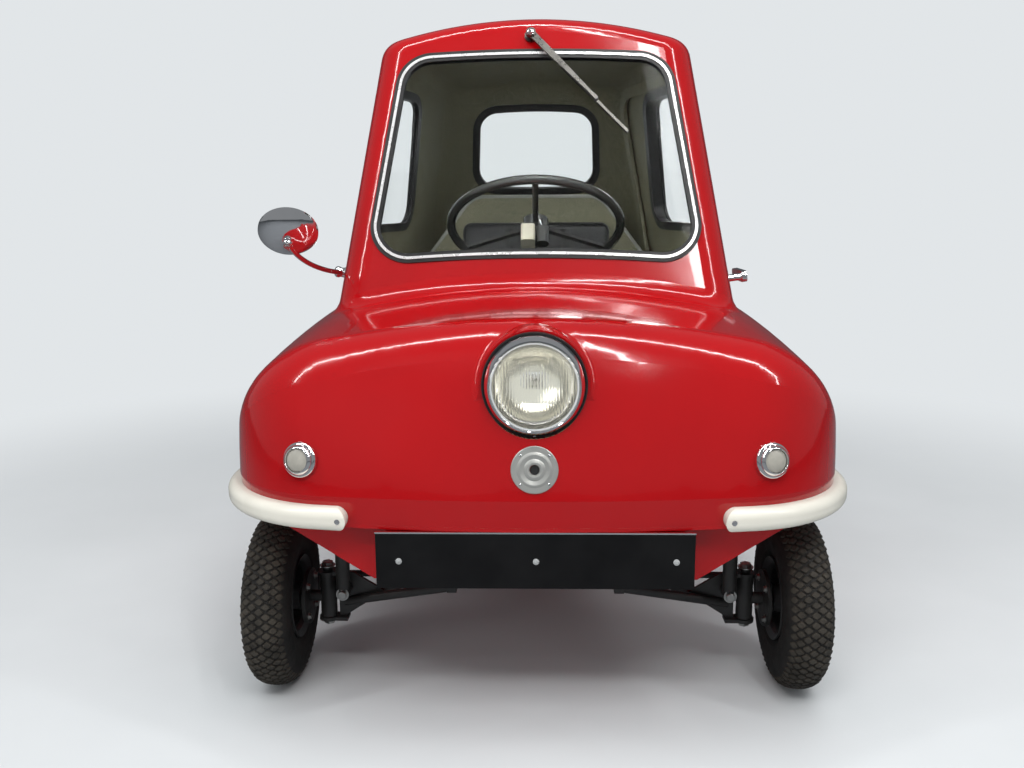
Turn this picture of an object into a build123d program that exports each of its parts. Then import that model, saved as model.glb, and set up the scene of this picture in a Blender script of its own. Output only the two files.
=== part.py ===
from build123d import *
from functools import cache
from math import atan2, cos, degrees, radians, sin, sqrt, tan
import os

# A three wheeled single seat microcar. It stands on the floor, z = 0, at the middle of its
# footprint. The nose points along -Y, the car's own left side, with the door, is at +X.
# Millimetres. A distance behind the nose tip is called d, and at(d) gives its y.

LENGTH = 1372.0
WIDTH = 991.0
HEIGHT = 1170.0
GLASS_FIBRE = 7.0
SEAT_GAP = 0.3

# Lower body: half widths and heights of the nose and of the bonnet arch
SEAM_Z = 354.0
CREASE_Z = 396.0
BODY_HALF = 487.0
LIP_HALF = 484.0
NOSE_BOW = 2000.0
NOSE_CORNER = 195.0
SIDE_BOW = 2270.0
LOWER_TAIL = 1230.0
NOSE_FILLET = 90.0
ARCH_RADIUS = 200.0
ARCH_TURN = 78.0
COWL_BLEND = 45.0

# Cabin: front face, tapers and roof
COWL_D = 425.0
COWL_Z = 738.0
SCREEN_LEAN = 0.385
TAIL_LEAN = 0.35
CABIN_HALF = 360.0
CABIN_REAR_HALF = 264.0
CABIN_REF_Z = 670.0
CABIN_TAPER = 0.14
CABIN_REAR_TAPER = 0.14
CABIN_MID_D = 800.0
CABIN_CORNER = 55.0
CABIN_TAIL_CORNER = 95.0
CABIN_BELLY = 700.0
ROOF_ACROSS = 930.0
ROOF_ALONG = 1500.0
ROOF_CROWN_D = 690.0
ROOF_FILLET = 45.0

# Floor moulding
SHELF_Z = 348.0
FLOOR_WALL = 6.0
FOOTWELL_FRONT_D = 112.0
FOOTWELL_HALF = 292.0
FOOTWELL_Z = 244.0
TUB_FRONT_D = 446.0
TUB_REAR_D = 1326.0
TUB_Z = 178.0
VALANCE_D = 54.0
VALANCE_Z = 256.0

# Wheels
TYRE_R = 150.0
TYRE_W = 96.0
RIM_R = 64.0
TRACK = 880.0
FRONT_AXLE_D = 235.0
REAR_AXLE_D = 1162.0
HUB_BORE = 20.0
KINGPIN_X = 360.0
KINGPIN_D = 16.0
STEER_ARM = 100.0

# Steering column: it leans back from the vertical by COLUMN_LEAN
WHEEL_D = 646.0
WHEEL_Z = 772.0
COLUMN_LEAN = 32.0
STEERING_WHEEL_R = 172.0
SHAFT_R = 9.0
DROP_ARM = 57.8
TIE_ROD_Z = 150.0

# Door and its hinge line, which runs up the cabin's side outside the skin
DOOR_THICK = 22.0
DOOR_GAP = 5.0
DOOR_FRONT_D = 500.0
DOOR_WAIST_Z = 690.0
DOOR_FRONT_TOP_D = 645.0
DOOR_REAR_D = 1030.0
DOOR_LOW_Z = 412.0
DOOR_TOP_Z = 1076.0
DOOR_CORNER = 60.0
HINGE_D = 1040.0
HINGE_FOOT = (360.5, 560.0)
HINGE_HEAD = (254.5, 1000.0)
HINGE_ZS = (578.0, 962.0)

# Lamps and the fairing that carries the headlamp
HEADLAMP_R = 74.0
HEADLAMP_D = 8.0
HEADLAMP_Z = 562.0
POD_R = 80.0
POD_D = 34.0
POD_LENGTH = 190.0
POD_BLEND = 12.0
NOSE_DISC_R = 34.5
NOSE_DISC_Z = 442.0
SIDE_LAMP_X = 346.0
SIDE_LAMP_Z = 448.0
SIDE_LAMP_R = 27.0

nodes = {}


def at(d):
    return d - LENGTH / 2


def lower_plan(nose_d, half, z, inset):
    """One plan outline of the lower body: bowed nose, round corners, long curved sides."""
    bow_centre = Vector(0, at(nose_d) + NOSE_BOW)
    corner_x = half - NOSE_CORNER
    corner_y = bow_centre.Y - sqrt((NOSE_BOW - NOSE_CORNER) ** 2 - corner_x**2)
    corner_centre = Vector(corner_x, corner_y)
    side_centre = Vector(half - SIDE_BOW, corner_y)
    bow_r = NOSE_BOW - inset
    corner_r = NOSE_CORNER - inset
    side_r = SIDE_BOW - inset
    tail_y = at(LOWER_TAIL) - inset
    bow_end = bow_centre + (corner_centre - bow_centre).normalized() * bow_r
    side_start = Vector(corner_x + corner_r, corner_y)
    side_end = Vector(side_centre.X + sqrt(side_r**2 - (tail_y - corner_y) ** 2), tail_y)
    corner_way = (bow_end - corner_centre).normalized() + (side_start - corner_centre).normalized()
    corner_mid = corner_centre + corner_way.normalized() * corner_r
    side_way = (side_start - side_centre).normalized() + (side_end - side_centre).normalized()
    side_mid = side_centre + side_way.normalized() * side_r

    def right(p):
        return (p.X, p.Y, z)

    def left(p):
        return (-p.X, p.Y, z)

    nose = (0, bow_centre.Y - bow_r, z)
    return Face(
        Wire(
            [
                Edge.make_three_point_arc(left(bow_end), nose, right(bow_end)),
                Edge.make_three_point_arc(right(bow_end), right(corner_mid), right(side_start)),
                Edge.make_three_point_arc(right(side_start), right(side_mid), right(side_end)),
                Edge.make_line(right(side_end), left(side_end)),
                Edge.make_three_point_arc(left(side_end), left(side_mid), left(side_start)),
                Edge.make_three_point_arc(left(side_start), left(corner_mid), left(bow_end)),
            ]
        )
    )


def bonnet_arch(d, crown_z, half, inset):
    """One front view arch of the bonnet: straight sides, round shoulders, flat crown."""
    spring_z = crown_z - 230.0
    foot_z = SEAM_Z - 60.0
    shoulder = Vector(half - ARCH_RADIUS, spring_z)
    r = ARCH_RADIUS - inset
    turn = radians(ARCH_TURN)
    spring = Vector(shoulder.X + r, shoulder.Y)
    mid = Vector(shoulder.X + r * cos(turn / 2), shoulder.Y + r * sin(turn / 2))
    haunch = Vector(shoulder.X + r * cos(turn), shoulder.Y + r * sin(turn))
    outer_haunch_x = shoulder.X + ARCH_RADIUS * cos(turn)
    crown_r = outer_haunch_x / cos(turn)
    crown_centre_z = shoulder.Y + ARCH_RADIUS * sin(turn) - crown_r * sin(turn)
    crown = (0, at(d), crown_centre_z + crown_r - inset)

    def right(p):
        return (p.X, at(d), p.Y)

    def left(p):
        return (-p.X, at(d), p.Y)

    foot = Vector(spring.X, foot_z)
    return Face(
        Wire(
            [
                Edge.make_line(left(foot), right(foot)),
                Edge.make_line(right(foot), right(spring)),
                Edge.make_three_point_arc(right(spring), right(mid), right(haunch)),
                Edge.make_three_point_arc(right(haunch), crown, left(haunch)),
                Edge.make_three_point_arc(left(haunch), left(mid), left(spring)),
                Edge.make_line(left(spring), left(foot)),
            ]
        )
    )


def lower_form(inset, low_z):
    """The lower body as a solid, inset from its outer skin, down to low_z."""
    # nose_d, half width, z
    plans = [(0.0, BODY_HALF, CREASE_Z), (26.0, 488.0, 520.0), (120.0, 484.0, 700.0)]
    # d, crown_z, half width
    arches = [(-40.0, 628.0, 491.0), (420.0, 670.0, 491.0), (1300.0, 650.0, 491.0)]
    tub = loft([lower_plan(nose_d, half, z, inset) for nose_d, half, z in plans])
    tub += loft([lower_plan(4.0, LIP_HALF, low_z, inset), lower_plan(0.0, BODY_HALF, CREASE_Z, inset)])
    barrel = loft([bonnet_arch(d, crown_z, half, inset) for d, crown_z, half in arches])
    form = tub & barrel
    front = [e for e in form.edges() if e.center().Z > 560 and e.center().Y < at(186)]
    return fillet(front, NOSE_FILLET)


def cabin_plan(z, inset):
    front_d = COWL_D + (z - COWL_Z) * SCREEN_LEAN + inset
    rear_d = LENGTH - (z - SEAM_Z) * TAIL_LEAN - inset
    front_half = CABIN_HALF + (CABIN_REF_Z - z) * CABIN_TAPER - inset
    rear_half = CABIN_REAR_HALF + (CABIN_REF_Z - z) * CABIN_REAR_TAPER - inset
    mid_half = front_half - 6.0
    right = [(front_half, at(front_d)), (mid_half, at(CABIN_MID_D)), (rear_half, at(rear_d))]
    left = [(-x, y) for x, y in reversed(right)]
    front_r = CABIN_CORNER - inset
    tail_r = CABIN_TAIL_CORNER - inset
    radii = [front_r, CABIN_BELLY, tail_r, tail_r, CABIN_BELLY, front_r]
    points = [(x, y, z) for x, y in right + left]
    return Face(Wire(FilletPolyline(*points, radius=radii, close=True).edges()))


def cabin_form(inset, low_z):
    """The cabin as a solid, inset from its outer skin: tapered sides under a domed roof."""
    sides = loft([cabin_plan(low_z, inset), cabin_plan(HEIGHT + 30.0, inset)], ruled=True)
    axis_z = HEIGHT - ROOF_ACROSS
    crown_z = HEIGHT - inset
    front_y = at(200.0)
    rear_y = at(1320.0)
    crown_y = at(ROOF_CROWN_D)
    front_z = crown_z - (ROOF_ALONG - sqrt(ROOF_ALONG**2 - (crown_y - front_y) ** 2))
    rear_z = crown_z - (ROOF_ALONG - sqrt(ROOF_ALONG**2 - (rear_y - crown_y) ** 2))
    ridge = Edge.make_three_point_arc((0, front_y, front_z), (0, crown_y, crown_z), (0, rear_y, rear_z))
    outline = Wire(
        [
            ridge,
            Edge.make_line((0, rear_y, rear_z), (0, rear_y, axis_z)),
            Edge.make_line((0, rear_y, axis_z), (0, front_y, axis_z)),
            Edge.make_line((0, front_y, axis_z), (0, front_y, front_z)),
        ]
    )
    dome = revolve(Face(outline), axis=Axis((0, 0, axis_z), (0, 1, 0)), revolution_arc=360)
    form = sides & dome
    rim = [e for e in form.edges() if e.center().Z > 1080]
    return fillet(rim, ROOF_FILLET - inset)


@cache
def cabin(inset):
    return cabin_form(inset, SEAM_Z - 10.0)


@cache
def body(inset):
    """The body's outer form as one solid, inset by a wall, with the cowl blended in."""
    upper = cabin_form(inset, SEAM_Z)
    lower = lower_form(inset, SEAM_Z)
    joined = upper + lower
    meeting = [e for e in new_edges(upper, lower, combined=joined) if e.center().Z > SEAM_Z + 46.0]
    return fillet(meeting, COWL_BLEND + min(inset, GLASS_FIBRE))


@cache
def faired(inset):
    """The body's form with the round fairing that carries the headlamp."""
    front = Plane(origin=(0, at(POD_D) + inset, HEADLAMP_Z), x_dir=(1, 0, 0), z_dir=(0, 1, 0))
    pod = extrude(front * Circle(POD_R - inset), POD_LENGTH)
    joined = body(inset) + pod
    meeting = [e for e in new_edges(body(inset), pod, combined=joined) if e.center().Y > front.origin.Y + 2.0]
    return fillet(meeting, POD_BLEND + inset)


@cache
def skin(outer, inner):
    """The cabin's skin between two insets."""
    return cabin(outer) - cabin(inner)


def box_between(x0, x1, d0, d1, z0, z1):
    """A plain box between two corners given by x, distance behind the nose and z."""
    size = (x1 - x0, d1 - d0, z1 - z0)
    centre = ((x0 + x1) / 2, at((d0 + d1) / 2), (z0 + z1) / 2)
    return Pos(*centre) * Box(*size)


def rod(start, end, radius):
    """A round bar between two points."""
    a, b = Vector(*start), Vector(*end)
    return extrude(Plane(origin=a, z_dir=b - a) * Circle(radius), (b - a).length)


def turned(plane, *lines):
    """A turned piece: lines that close an outline of (radius, height), on the plane's own axis."""
    half = Face(Wire([edge for line in lines for edge in line.edges()]))
    return plane.location * Rot(90, 0, 0) * revolve(half, axis=Axis.Y, revolution_arc=360)


def mirrored(shape):
    return mirror(shape, about=Plane.YZ)


def biggest(shape):
    return max(shape.solids(), key=lambda s: s.volume)


def seated(shape):
    """What stands proud of the body's outer skin, so a fitting's foot follows the skin."""
    return biggest(shape - faired(0.0))


def save(name, *solids):
    nodes[name] = Compound(children=[s for group in solids for s in group.solids()])


SCREEN_ANGLE = degrees(atan2(SCREEN_LEAN, 1.0))
TAIL_ANGLE = degrees(atan2(TAIL_LEAN, 1.0))
SCREEN_LOW_Z = 716.0
REAR_WINDOW_LOW_Z = 858.0


def screen_plane(z, out=0.0):
    """The plane of the windscreen face at height z, x to the left side, y up the slope."""
    lean = radians(SCREEN_ANGLE)
    d = COWL_D + (z - COWL_Z) * SCREEN_LEAN
    normal = Vector(0, -cos(lean), sin(lean))
    return Plane(origin=Vector(0, at(d), z) + normal * out, x_dir=(1, 0, 0), z_dir=normal)


def tail_plane(z, x=0.0, out=0.0):
    """The plane of the rear face at height z, facing back."""
    lean = radians(TAIL_ANGLE)
    d = LENGTH - (z - SEAM_Z) * TAIL_LEAN
    normal = Vector(0, cos(lean), sin(lean))
    return Plane(origin=Vector(x, at(d), z) + normal * out, x_dir=(-1, 0, 0), z_dir=normal)


def skin_plane(start, way, x_dir):
    """The plane that touches the outer skin where a line from start first meets it."""
    point, normal = faired(0.0).find_intersection_points(Axis(start, way))[0]
    return Plane(origin=point, x_dir=x_dir, z_dir=normal)


def window_face(low_half, high_half, height, low_rise, high_rise, radius):
    """A window outline from its base line up: bowed sill and head, round corners."""
    sides = [(-low_half, 0), (low_half, 0), (high_half, height), (-high_half, height)]
    edges = [
        Edge.make_three_point_arc(sides[0], (0, low_rise), sides[1]),
        Edge.make_line(sides[1], sides[2]),
        Edge.make_three_point_arc(sides[2], (0, height + high_rise), sides[3]),
        Edge.make_line(sides[3], sides[0]),
    ]
    face = Face(Wire(edges))
    return fillet(face.vertices(), radius)


def side_face(corners, radius):
    """An outline in the side view, from corners given as (d, z)."""
    outline = Polyline(*[(at(d), z) for d, z in corners], close=True)
    return fillet(make_face(outline).vertices(), radius)


# Windows: each opening has a rubber that grips the skin, and a pane inside the rubber
SIDE_VIEW = Plane(origin=(0, 0, 0), x_dir=(0, 1, 0), z_dir=(1, 0, 0))
CUT_DEPTH = 260.0
SEAL_LIP = 9.0
SEAL_PROUD = 3.0
SEAL_FIT = 0.05
GLASS_EDGE = 4.0
GLASS_OUT = 2.0
GLASS_IN = 5.5
TRIM_WIDTH = 5.0
TRIM_PROUD = 4.6
# d, z
SIDE_WINDOW = [(576.0, 768.0), (680.0, 1052.0), (905.0, 1052.0), (955.0, 768.0)]
SIDE_WINDOW_R = 45.0
# d, half width and z where the door's corners lie on the skin
DOOR_CORNERS = [
    (DOOR_FRONT_D, 482.0, DOOR_LOW_Z),
    (DOOR_FRONT_D, 357.0, DOOR_WAIST_Z),
    (DOOR_FRONT_TOP_D, 299.0, DOOR_TOP_Z),
    (DOOR_REAR_D, 233.0, DOOR_TOP_Z),
    (DOOR_REAR_D, 346.0, DOOR_LOW_Z),
]
hinge_foot = Vector(HINGE_FOOT[0], at(HINGE_D), HINGE_FOOT[1])
hinge_head = Vector(HINGE_HEAD[0], at(HINGE_D), HINGE_HEAD[1])
HINGE_LINE = (hinge_head - hinge_foot).normalized()
DOOR_VIEW = Plane(origin=(0, 0, 0), x_dir=(0, 1, 0), z_dir=Vector(0, 1, 0).cross(HINGE_LINE))


def screen_prism(grow):
    """The windscreen opening, grown by an amount, as a cutter through the front face."""
    face = window_face(303.0, 246.0, 398.0, 15.0, 10.0, 62.0)
    face = offset(face, grow) if grow else face
    return extrude(screen_plane(SCREEN_LOW_Z) * face, CUT_DEPTH, both=True)


def rear_prism(grow):
    """The rear window opening, grown by an amount, as a cutter through the rear face."""
    face = window_face(156.0, 146.0, 200.0, -6.0, 8.0, 55.0)
    face = offset(face, grow) if grow else face
    return extrude(tail_plane(REAR_WINDOW_LOW_Z) * face, CUT_DEPTH, both=True)


def side_prism(grow, sign):
    """The side window opening, grown by an amount, as a cutter through one side."""
    face = side_face(SIDE_WINDOW, SIDE_WINDOW_R)
    face = offset(face, grow) if grow else face
    prism = extrude(SIDE_VIEW * face, WIDTH)
    return prism if sign > 0 else mirrored(prism)


def door_prism(grow):
    """The door opening, cut square to the hinge line so that its edges swing past the frame."""
    along_hinge = [(d, x * HINGE_LINE.X + z * HINGE_LINE.Z) for d, x, z in DOOR_CORNERS]
    face = side_face(along_hinge, DOOR_CORNER)
    face = offset(face, grow) if grow else face
    return extrude(DOOR_VIEW * face, WIDTH)


def glazing(prism, wall=GLASS_FIBRE):
    """The pane and its rubber for one opening, both following the cabin's own skin."""
    pane = skin(GLASS_OUT, GLASS_IN) & prism(-GLASS_EDGE)
    ring = skin(-SEAL_PROUD, wall + SEAL_PROUD) & (prism(SEAL_LIP) - prism(-SEAL_LIP))
    gripped = skin(-SEAL_FIT, wall + SEAL_FIT) & (prism(SEAL_LIP + 5.0) - prism(-SEAL_FIT))
    return pane, ring - gripped - pane


screen_pane, screen_rubber = glazing(screen_prism)
rear_pane, rear_rubber = glazing(rear_prism)
right_pane, right_rubber = glazing(lambda grow: side_prism(grow, -1))
door_pane, door_rubber = glazing(lambda grow: side_prism(grow, 1), wall=DOOR_THICK)
trim_ring = screen_prism(TRIM_WIDTH / 2) - screen_prism(-TRIM_WIDTH / 2)
save("windscreen_glass", screen_pane)
save("windscreen_rubber", screen_rubber)
save("windscreen_trim", skin(-TRIM_PROUD, -SEAL_PROUD) & trim_ring)
save("rear_glass", rear_pane)
save("rear_rubber", rear_rubber)
save("side_glass", right_pane)
save("side_rubber", right_rubber)
save("door_glass", door_pane)
save("door_rubber", door_rubber)

# Door: a panel as thick as the whole door, hung on the cabin's side
door_panel = (body(0.0) - body(DOOR_THICK)) & door_prism(0.0)
door_panel -= side_prism(0.0, 1)
save("door_panel", door_panel)

# Body moulding: one skin with its openings, and the frame that the door shuts into
FRAME_IN = DOOR_THICK + 5.0
FRAME_WALL = 6.0
FRAME_LAP = 12.0
frame_skin = body(0.0) - body(FRAME_IN + FRAME_WALL)
stop_skin = body(FRAME_IN) - body(FRAME_IN + FRAME_WALL)
door_jamb = (frame_skin & door_prism(DOOR_GAP + FRAME_WALL)) - door_prism(DOOR_GAP)
door_stop = (stop_skin & door_prism(DOOR_GAP + FRAME_WALL)) - door_prism(-FRAME_LAP)
body_shell = faired(0.0) - faired(GLASS_FIBRE)
body_shell = body_shell - door_prism(DOOR_GAP) + door_jamb + door_stop
for opening in (screen_prism(0.0), rear_prism(0.0), side_prism(0.0, -1)):
    body_shell -= opening

# Headlamp: a deep bezel on a gasket, a reflector bowl and a domed lens
LAMP_FIT = 0.3
BEZEL_DEEP = 34.0
GASKET_WIDTH = 2.5
GASKET_FRONT = 17.0
GASKET_BACK = 27.0
LENS_R = 64.0
POLE_R = 1.5
lamp_plane = Plane(origin=(0, at(HEADLAMP_D), HEADLAMP_Z), x_dir=(1, 0, 0), z_dir=(0, -1, 0))
bezel_r = HEADLAMP_R
headlamp_body = turned(
    lamp_plane,
    ThreePointArc((bezel_r - 7, 0), (bezel_r - 1.6, -11), (bezel_r, -26)),
    Polyline((bezel_r, -26), (bezel_r, -BEZEL_DEEP), (bezel_r - 4, -BEZEL_DEEP - 4)),
    ThreePointArc((bezel_r - 4, -BEZEL_DEEP - 4), (48, -60), (POLE_R, -68)),
    Polyline((POLE_R, -68), (0, -68), (0, -63), (POLE_R, -63)),
    ThreePointArc((POLE_R, -63), (44, -55), (LENS_R - 3, -BEZEL_DEEP)),
    Polyline(
        (LENS_R - 3, -BEZEL_DEEP), (LENS_R - 3, -6), (LENS_R, -6),
        (LENS_R, -1), (LENS_R + 1, 0), (bezel_r - 7, 0),
    ),
)
headlamp_lens = turned(
    lamp_plane,
    ThreePointArc((POLE_R, 6), (36, 3.6), (LENS_R - LAMP_FIT, -3)),
    Polyline((LENS_R - LAMP_FIT, -3), (LENS_R - LAMP_FIT, -6), (LENS_R - 6, -6)),
    ThreePointArc((LENS_R - 6, -6), (36, 0), (POLE_R, 2.6)),
    Polyline((POLE_R, 2.6), (0, 2.6), (0, 6), (POLE_R, 6)),
)
gasket_in = bezel_r + LAMP_FIT
gasket_out = gasket_in + GASKET_WIDTH
gasket = extrude(lamp_plane.offset(-GASKET_BACK) * Circle(gasket_out), GASKET_BACK - GASKET_FRONT)
gasket -= extrude(lamp_plane.offset(-GASKET_BACK) * Circle(gasket_in), GASKET_BACK)
body_shell -= extrude(lamp_plane.offset(-GASKET_BACK) * Circle(gasket_out + LAMP_FIT), 2 * GASKET_BACK)
body_shell -= extrude(lamp_plane.offset(-BEZEL_DEEP - 8) * Circle(gasket_in), BEZEL_DEEP)
save("body_shell", biggest(body_shell))
save("headlamp_body", headlamp_body)
save("headlamp_lens", headlamp_lens)
save("headlamp_gasket", gasket)


# Nose disc: a turned light alloy disc with two raised rings round a hole
def disc_profile(steps, hollow_r, hollow_z):
    """A pressed disc's turned outline from steps of (radius, height), outermost first."""
    foot = -14.0
    rim, mouth = steps[0][0], steps[-1][0]
    back = [(mouth, hollow_z), (hollow_r, hollow_z)]
    return Polyline((hollow_r, foot), (rim, foot), *steps, *back, close=True)


nose_plane = skin_plane((0, at(-100.0), NOSE_DISC_Z), (0, 1, 0), (1, 0, 0))
# How the skin curves up behind the disc, and the hair's breadth that the disc stays off it
SKIN_RISE_R = 558.0
DISC_OFF = 0.05
# radius, height
NOSE_DISC_STEPS = [
    (NOSE_DISC_R, 0.8), (NOSE_DISC_R - 1.0, 1.6), (26.0, 1.6), (24.0, 2.6), (22.0, 3.3), (20.0, 2.6),
    (16.0, 1.2), (14.0, 2.4), (11.0, 3.4), (8.0, 2.8), (7.0, 0.8),
]
DISC_HOLLOW_R = 27.0
DISC_HOLLOW_Z = 0.3
disc = turned(nose_plane, disc_profile(NOSE_DISC_STEPS, DISC_HOLLOW_R, DISC_HOLLOW_Z))
skin_behind = Pos(0, 0, DISC_OFF - SKIN_RISE_R) * Rot(0, 90, 0) * Cylinder(SKIN_RISE_R, 100)
save("horn_disc", biggest(disc - nose_plane.location * skin_behind))


def round_lamp(plane, radius):
    """A small round lamp on the skin: a turned rim with a cup, and a domed lens in it."""
    cup = radius - 6.0
    rim = turned(
        plane,
        Polyline((0, -12), (radius, -12), (radius, 3)),
        ThreePointArc((radius, 3), (radius - 1.2, 7), (radius - 4, 9)),
        Polyline((radius - 4, 9), (cup, 8), (cup, 2), (0, 2), (0, -12)),
    )
    edge = cup - LAMP_FIT
    lens = turned(
        plane,
        Polyline((0, 2), (edge, 2), (edge, 8)),
        ThreePointArc((edge, 8), (edge * 0.6, 12), (POLE_R, 14)),
        Polyline((POLE_R, 14), (0, 14), (0, 2)),
    )
    return seated(rim), lens


side_lamps = [
    round_lamp(skin_plane((sign * SIDE_LAMP_X, at(-100.0), SIDE_LAMP_Z), (0, 1, 0), (1, 0, 0)), SIDE_LAMP_R)
    for sign in (-1, 1)
]
save("side_lamp_rims", *[rim for rim, lens in side_lamps])
save("side_lamp_lenses", *[lens for rim, lens in side_lamps])

TAIL_LAMP_X = 180.0
TAIL_LAMP_Z = 455.0
TAIL_LAMP_R = 24.0
tail_lamps = [
    round_lamp(
        skin_plane((sign * TAIL_LAMP_X, at(LENGTH + 100.0), TAIL_LAMP_Z), (0, -1, 0), (1, 0, 0)), TAIL_LAMP_R
    )
    for sign in (-1, 1)
]
save("tail_lamp_rims", *[rim for rim, lens in tail_lamps])
save("tail_lamp_lenses", *[lens for rim, lens in tail_lamps])

# Rear plate, door handle, tail handle: fittings that stand on the skin
PLATE_THICK = 3.0
REAR_PLATE_Z = 560.0
save("rear_plate", extrude(tail_plane(REAR_PLATE_Z) * RectangleRounded(290, 190, 8), PLATE_THICK))


def escutcheon(plane, radius):
    """A small round foot plate seated on the skin."""
    outline = Polyline((0, -12), (radius, -12), (radius, 2), (radius - 3, 5), (0, 5), close=True)
    return seated(turned(plane, outline))


HANDLE_D = 545.0
HANDLE_Z = 672.0
HANDLE_REACH = 42.0
handle_plane = skin_plane((WIDTH, at(HANDLE_D), HANDLE_Z), (-1, 0, 0), (0, 1, 0))
lever_face = Pos(36, 0) * RectangleRounded(96, 22, 10)
door_handle = escutcheon(handle_plane, 15.0)
door_handle += extrude(handle_plane.offset(4.0) * Circle(7), HANDLE_REACH - 3.0)
door_handle += extrude(handle_plane.offset(HANDLE_REACH) * lever_face, 9.0)
save("door_handle", door_handle)

TAIL_HANDLE_Z = 770.0
TAIL_HANDLE_HALF = 62.0
TAIL_HANDLE_OUT = 30.0
tail_handle = None
for sign in (-1, 1):
    foot = tail_plane(TAIL_HANDLE_Z, x=sign * TAIL_HANDLE_HALF)
    post = escutcheon(foot, 15.0) + extrude(foot.offset(4.0) * Circle(7), TAIL_HANDLE_OUT + 3.0)
    tail_handle = post if tail_handle is None else tail_handle + post
grip_line = tail_plane(TAIL_HANDLE_Z, out=TAIL_HANDLE_OUT)
tail_handle += rod(
    grip_line.origin - Vector(TAIL_HANDLE_HALF + 8, 0, 0), grip_line.origin + Vector(TAIL_HANDLE_HALF + 8, 0, 0), 8.0
)
save("rear_handle", tail_handle)

# Door hinges: barrels on the hinge line, leaves seated on the door and on the body
BARREL_R = 6.5
BARREL_HALF = 20.0
KNUCKLE_HALF = 7.0
HINGE_PIN_R = 3.5
PIN_SLACK = 0.15
LEAF_LONG = 38.0
LEAF_TOP = -5.5
LEAF_TAB = 10.0
SKIN_SLOPE = 10.2
skin_way = Vector(-sin(radians(SKIN_SLOPE)), cos(radians(SKIN_SLOPE)), 0)
door_leaves, body_leaves = [], []
for hinge_z in HINGE_ZS:
    share = (hinge_z - hinge_foot.Z) / (hinge_head.Z - hinge_foot.Z)
    centre = hinge_foot + (hinge_head - hinge_foot) * share
    leaf_plane = Plane(origin=centre, x_dir=skin_way, z_dir=skin_way.cross(HINGE_LINE))
    barrel = extrude(Plane(origin=centre, z_dir=HINGE_LINE) * Circle(BARREL_R), BARREL_HALF, both=True)
    middle = extrude(Plane(origin=centre, z_dir=HINGE_LINE) * Circle(BARREL_R + 1), KNUCKLE_HALF + 1, both=True)
    pin = extrude(Plane(origin=centre, z_dir=HINGE_LINE) * Circle(HINGE_PIN_R), BARREL_HALF, both=True)
    door_leaf = Pos(-LEAF_LONG / 2 - 4, 0) * Rectangle(LEAF_LONG - 8, 2 * BARREL_HALF)
    body_leaf = Pos(LEAF_LONG / 2 + 4, 0) * Rectangle(LEAF_LONG - 8, 2 * BARREL_HALF)
    for sign in (-1, 1):
        tab_mid = sign * (BARREL_HALF + KNUCKLE_HALF + 1) / 2
        body_leaf += Pos(LEAF_TAB / 2, tab_mid) * Rectangle(LEAF_TAB, BARREL_HALF - KNUCKLE_HALF - 1)
    door_part = seated(extrude(leaf_plane.offset(LEAF_TOP - 12) * door_leaf, 12))
    door_part += extrude(Plane(origin=centre, z_dir=HINGE_LINE) * Circle(BARREL_R), KNUCKLE_HALF, both=True)
    door_tab = Pos(-LEAF_TAB / 2, 0) * Rectangle(LEAF_TAB, 2 * KNUCKLE_HALF)
    door_part += extrude(leaf_plane.offset(LEAF_TOP - 1) * door_tab, 1)
    bore = Circle(HINGE_PIN_R + PIN_SLACK)
    door_part -= extrude(Plane(origin=centre, z_dir=HINGE_LINE) * bore, BARREL_HALF, both=True)
    body_part = seated(extrude(leaf_plane.offset(LEAF_TOP - 12) * body_leaf, 12)) + (barrel - middle) + pin
    door_leaves.append(door_part)
    body_leaves.append(body_part)
save("door_hinges", *door_leaves)
save("hinge_leaves", *body_leaves)

# Wiper, drawn on the windscreen's plane: x, and distance up the slope
WIPER_PIVOT = Vector(-8.0, 443.0)
WIPER_TIP = Vector(171.0, 247.0)
BLADE_LONG = 182.0
ARM_OUT = 12.0
HOLDER_OUT = 5.0
wiper_way = (WIPER_TIP - WIPER_PIVOT).normalized()
blade_mid = WIPER_TIP - wiper_way * (BLADE_LONG / 2)
wiper_turn = degrees(atan2(wiper_way.Y, wiper_way.X))
arm_long = (blade_mid - WIPER_PIVOT).length


def wiper_spot(point, turn=0.0):
    return Pos(point.X, point.Y) * Rot(0, 0, turn)


arm_face = make_face(
    Polyline((-6, -7), (60, -6), (arm_long, -2.5), (arm_long, 2.5), (60, 6), (-6, 7), close=True)
)
blade_spot = wiper_spot(blade_mid, wiper_turn)
wiper = extrude(screen_plane(SCREEN_LOW_Z) * wiper_spot(WIPER_PIVOT) * Circle(12), 4)
wiper += extrude(screen_plane(SCREEN_LOW_Z) * wiper_spot(WIPER_PIVOT) * Circle(6), ARM_OUT)
wiper += extrude(screen_plane(SCREEN_LOW_Z, ARM_OUT) * wiper_spot(WIPER_PIVOT) * Circle(9), 7)
wiper += extrude(screen_plane(SCREEN_LOW_Z, ARM_OUT) * wiper_spot(WIPER_PIVOT, wiper_turn) * arm_face, 4)
wiper += extrude(screen_plane(SCREEN_LOW_Z, HOLDER_OUT) * blade_spot * Rectangle(BLADE_LONG, 5), 3)
holder_plane = screen_plane(SCREEN_LOW_Z, HOLDER_OUT)
wiper += extrude(holder_plane * blade_spot * Rectangle(14, 7), ARM_OUT + 4 - HOLDER_OUT)
save("wiper", wiper)
blade_foot = screen_plane(SCREEN_LOW_Z, -GLASS_OUT)
blade = extrude(blade_foot * blade_spot * Rectangle(BLADE_LONG, 2.5), GLASS_OUT + HOLDER_OUT)
save("wiper_blade", blade - screen_pane)

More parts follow.
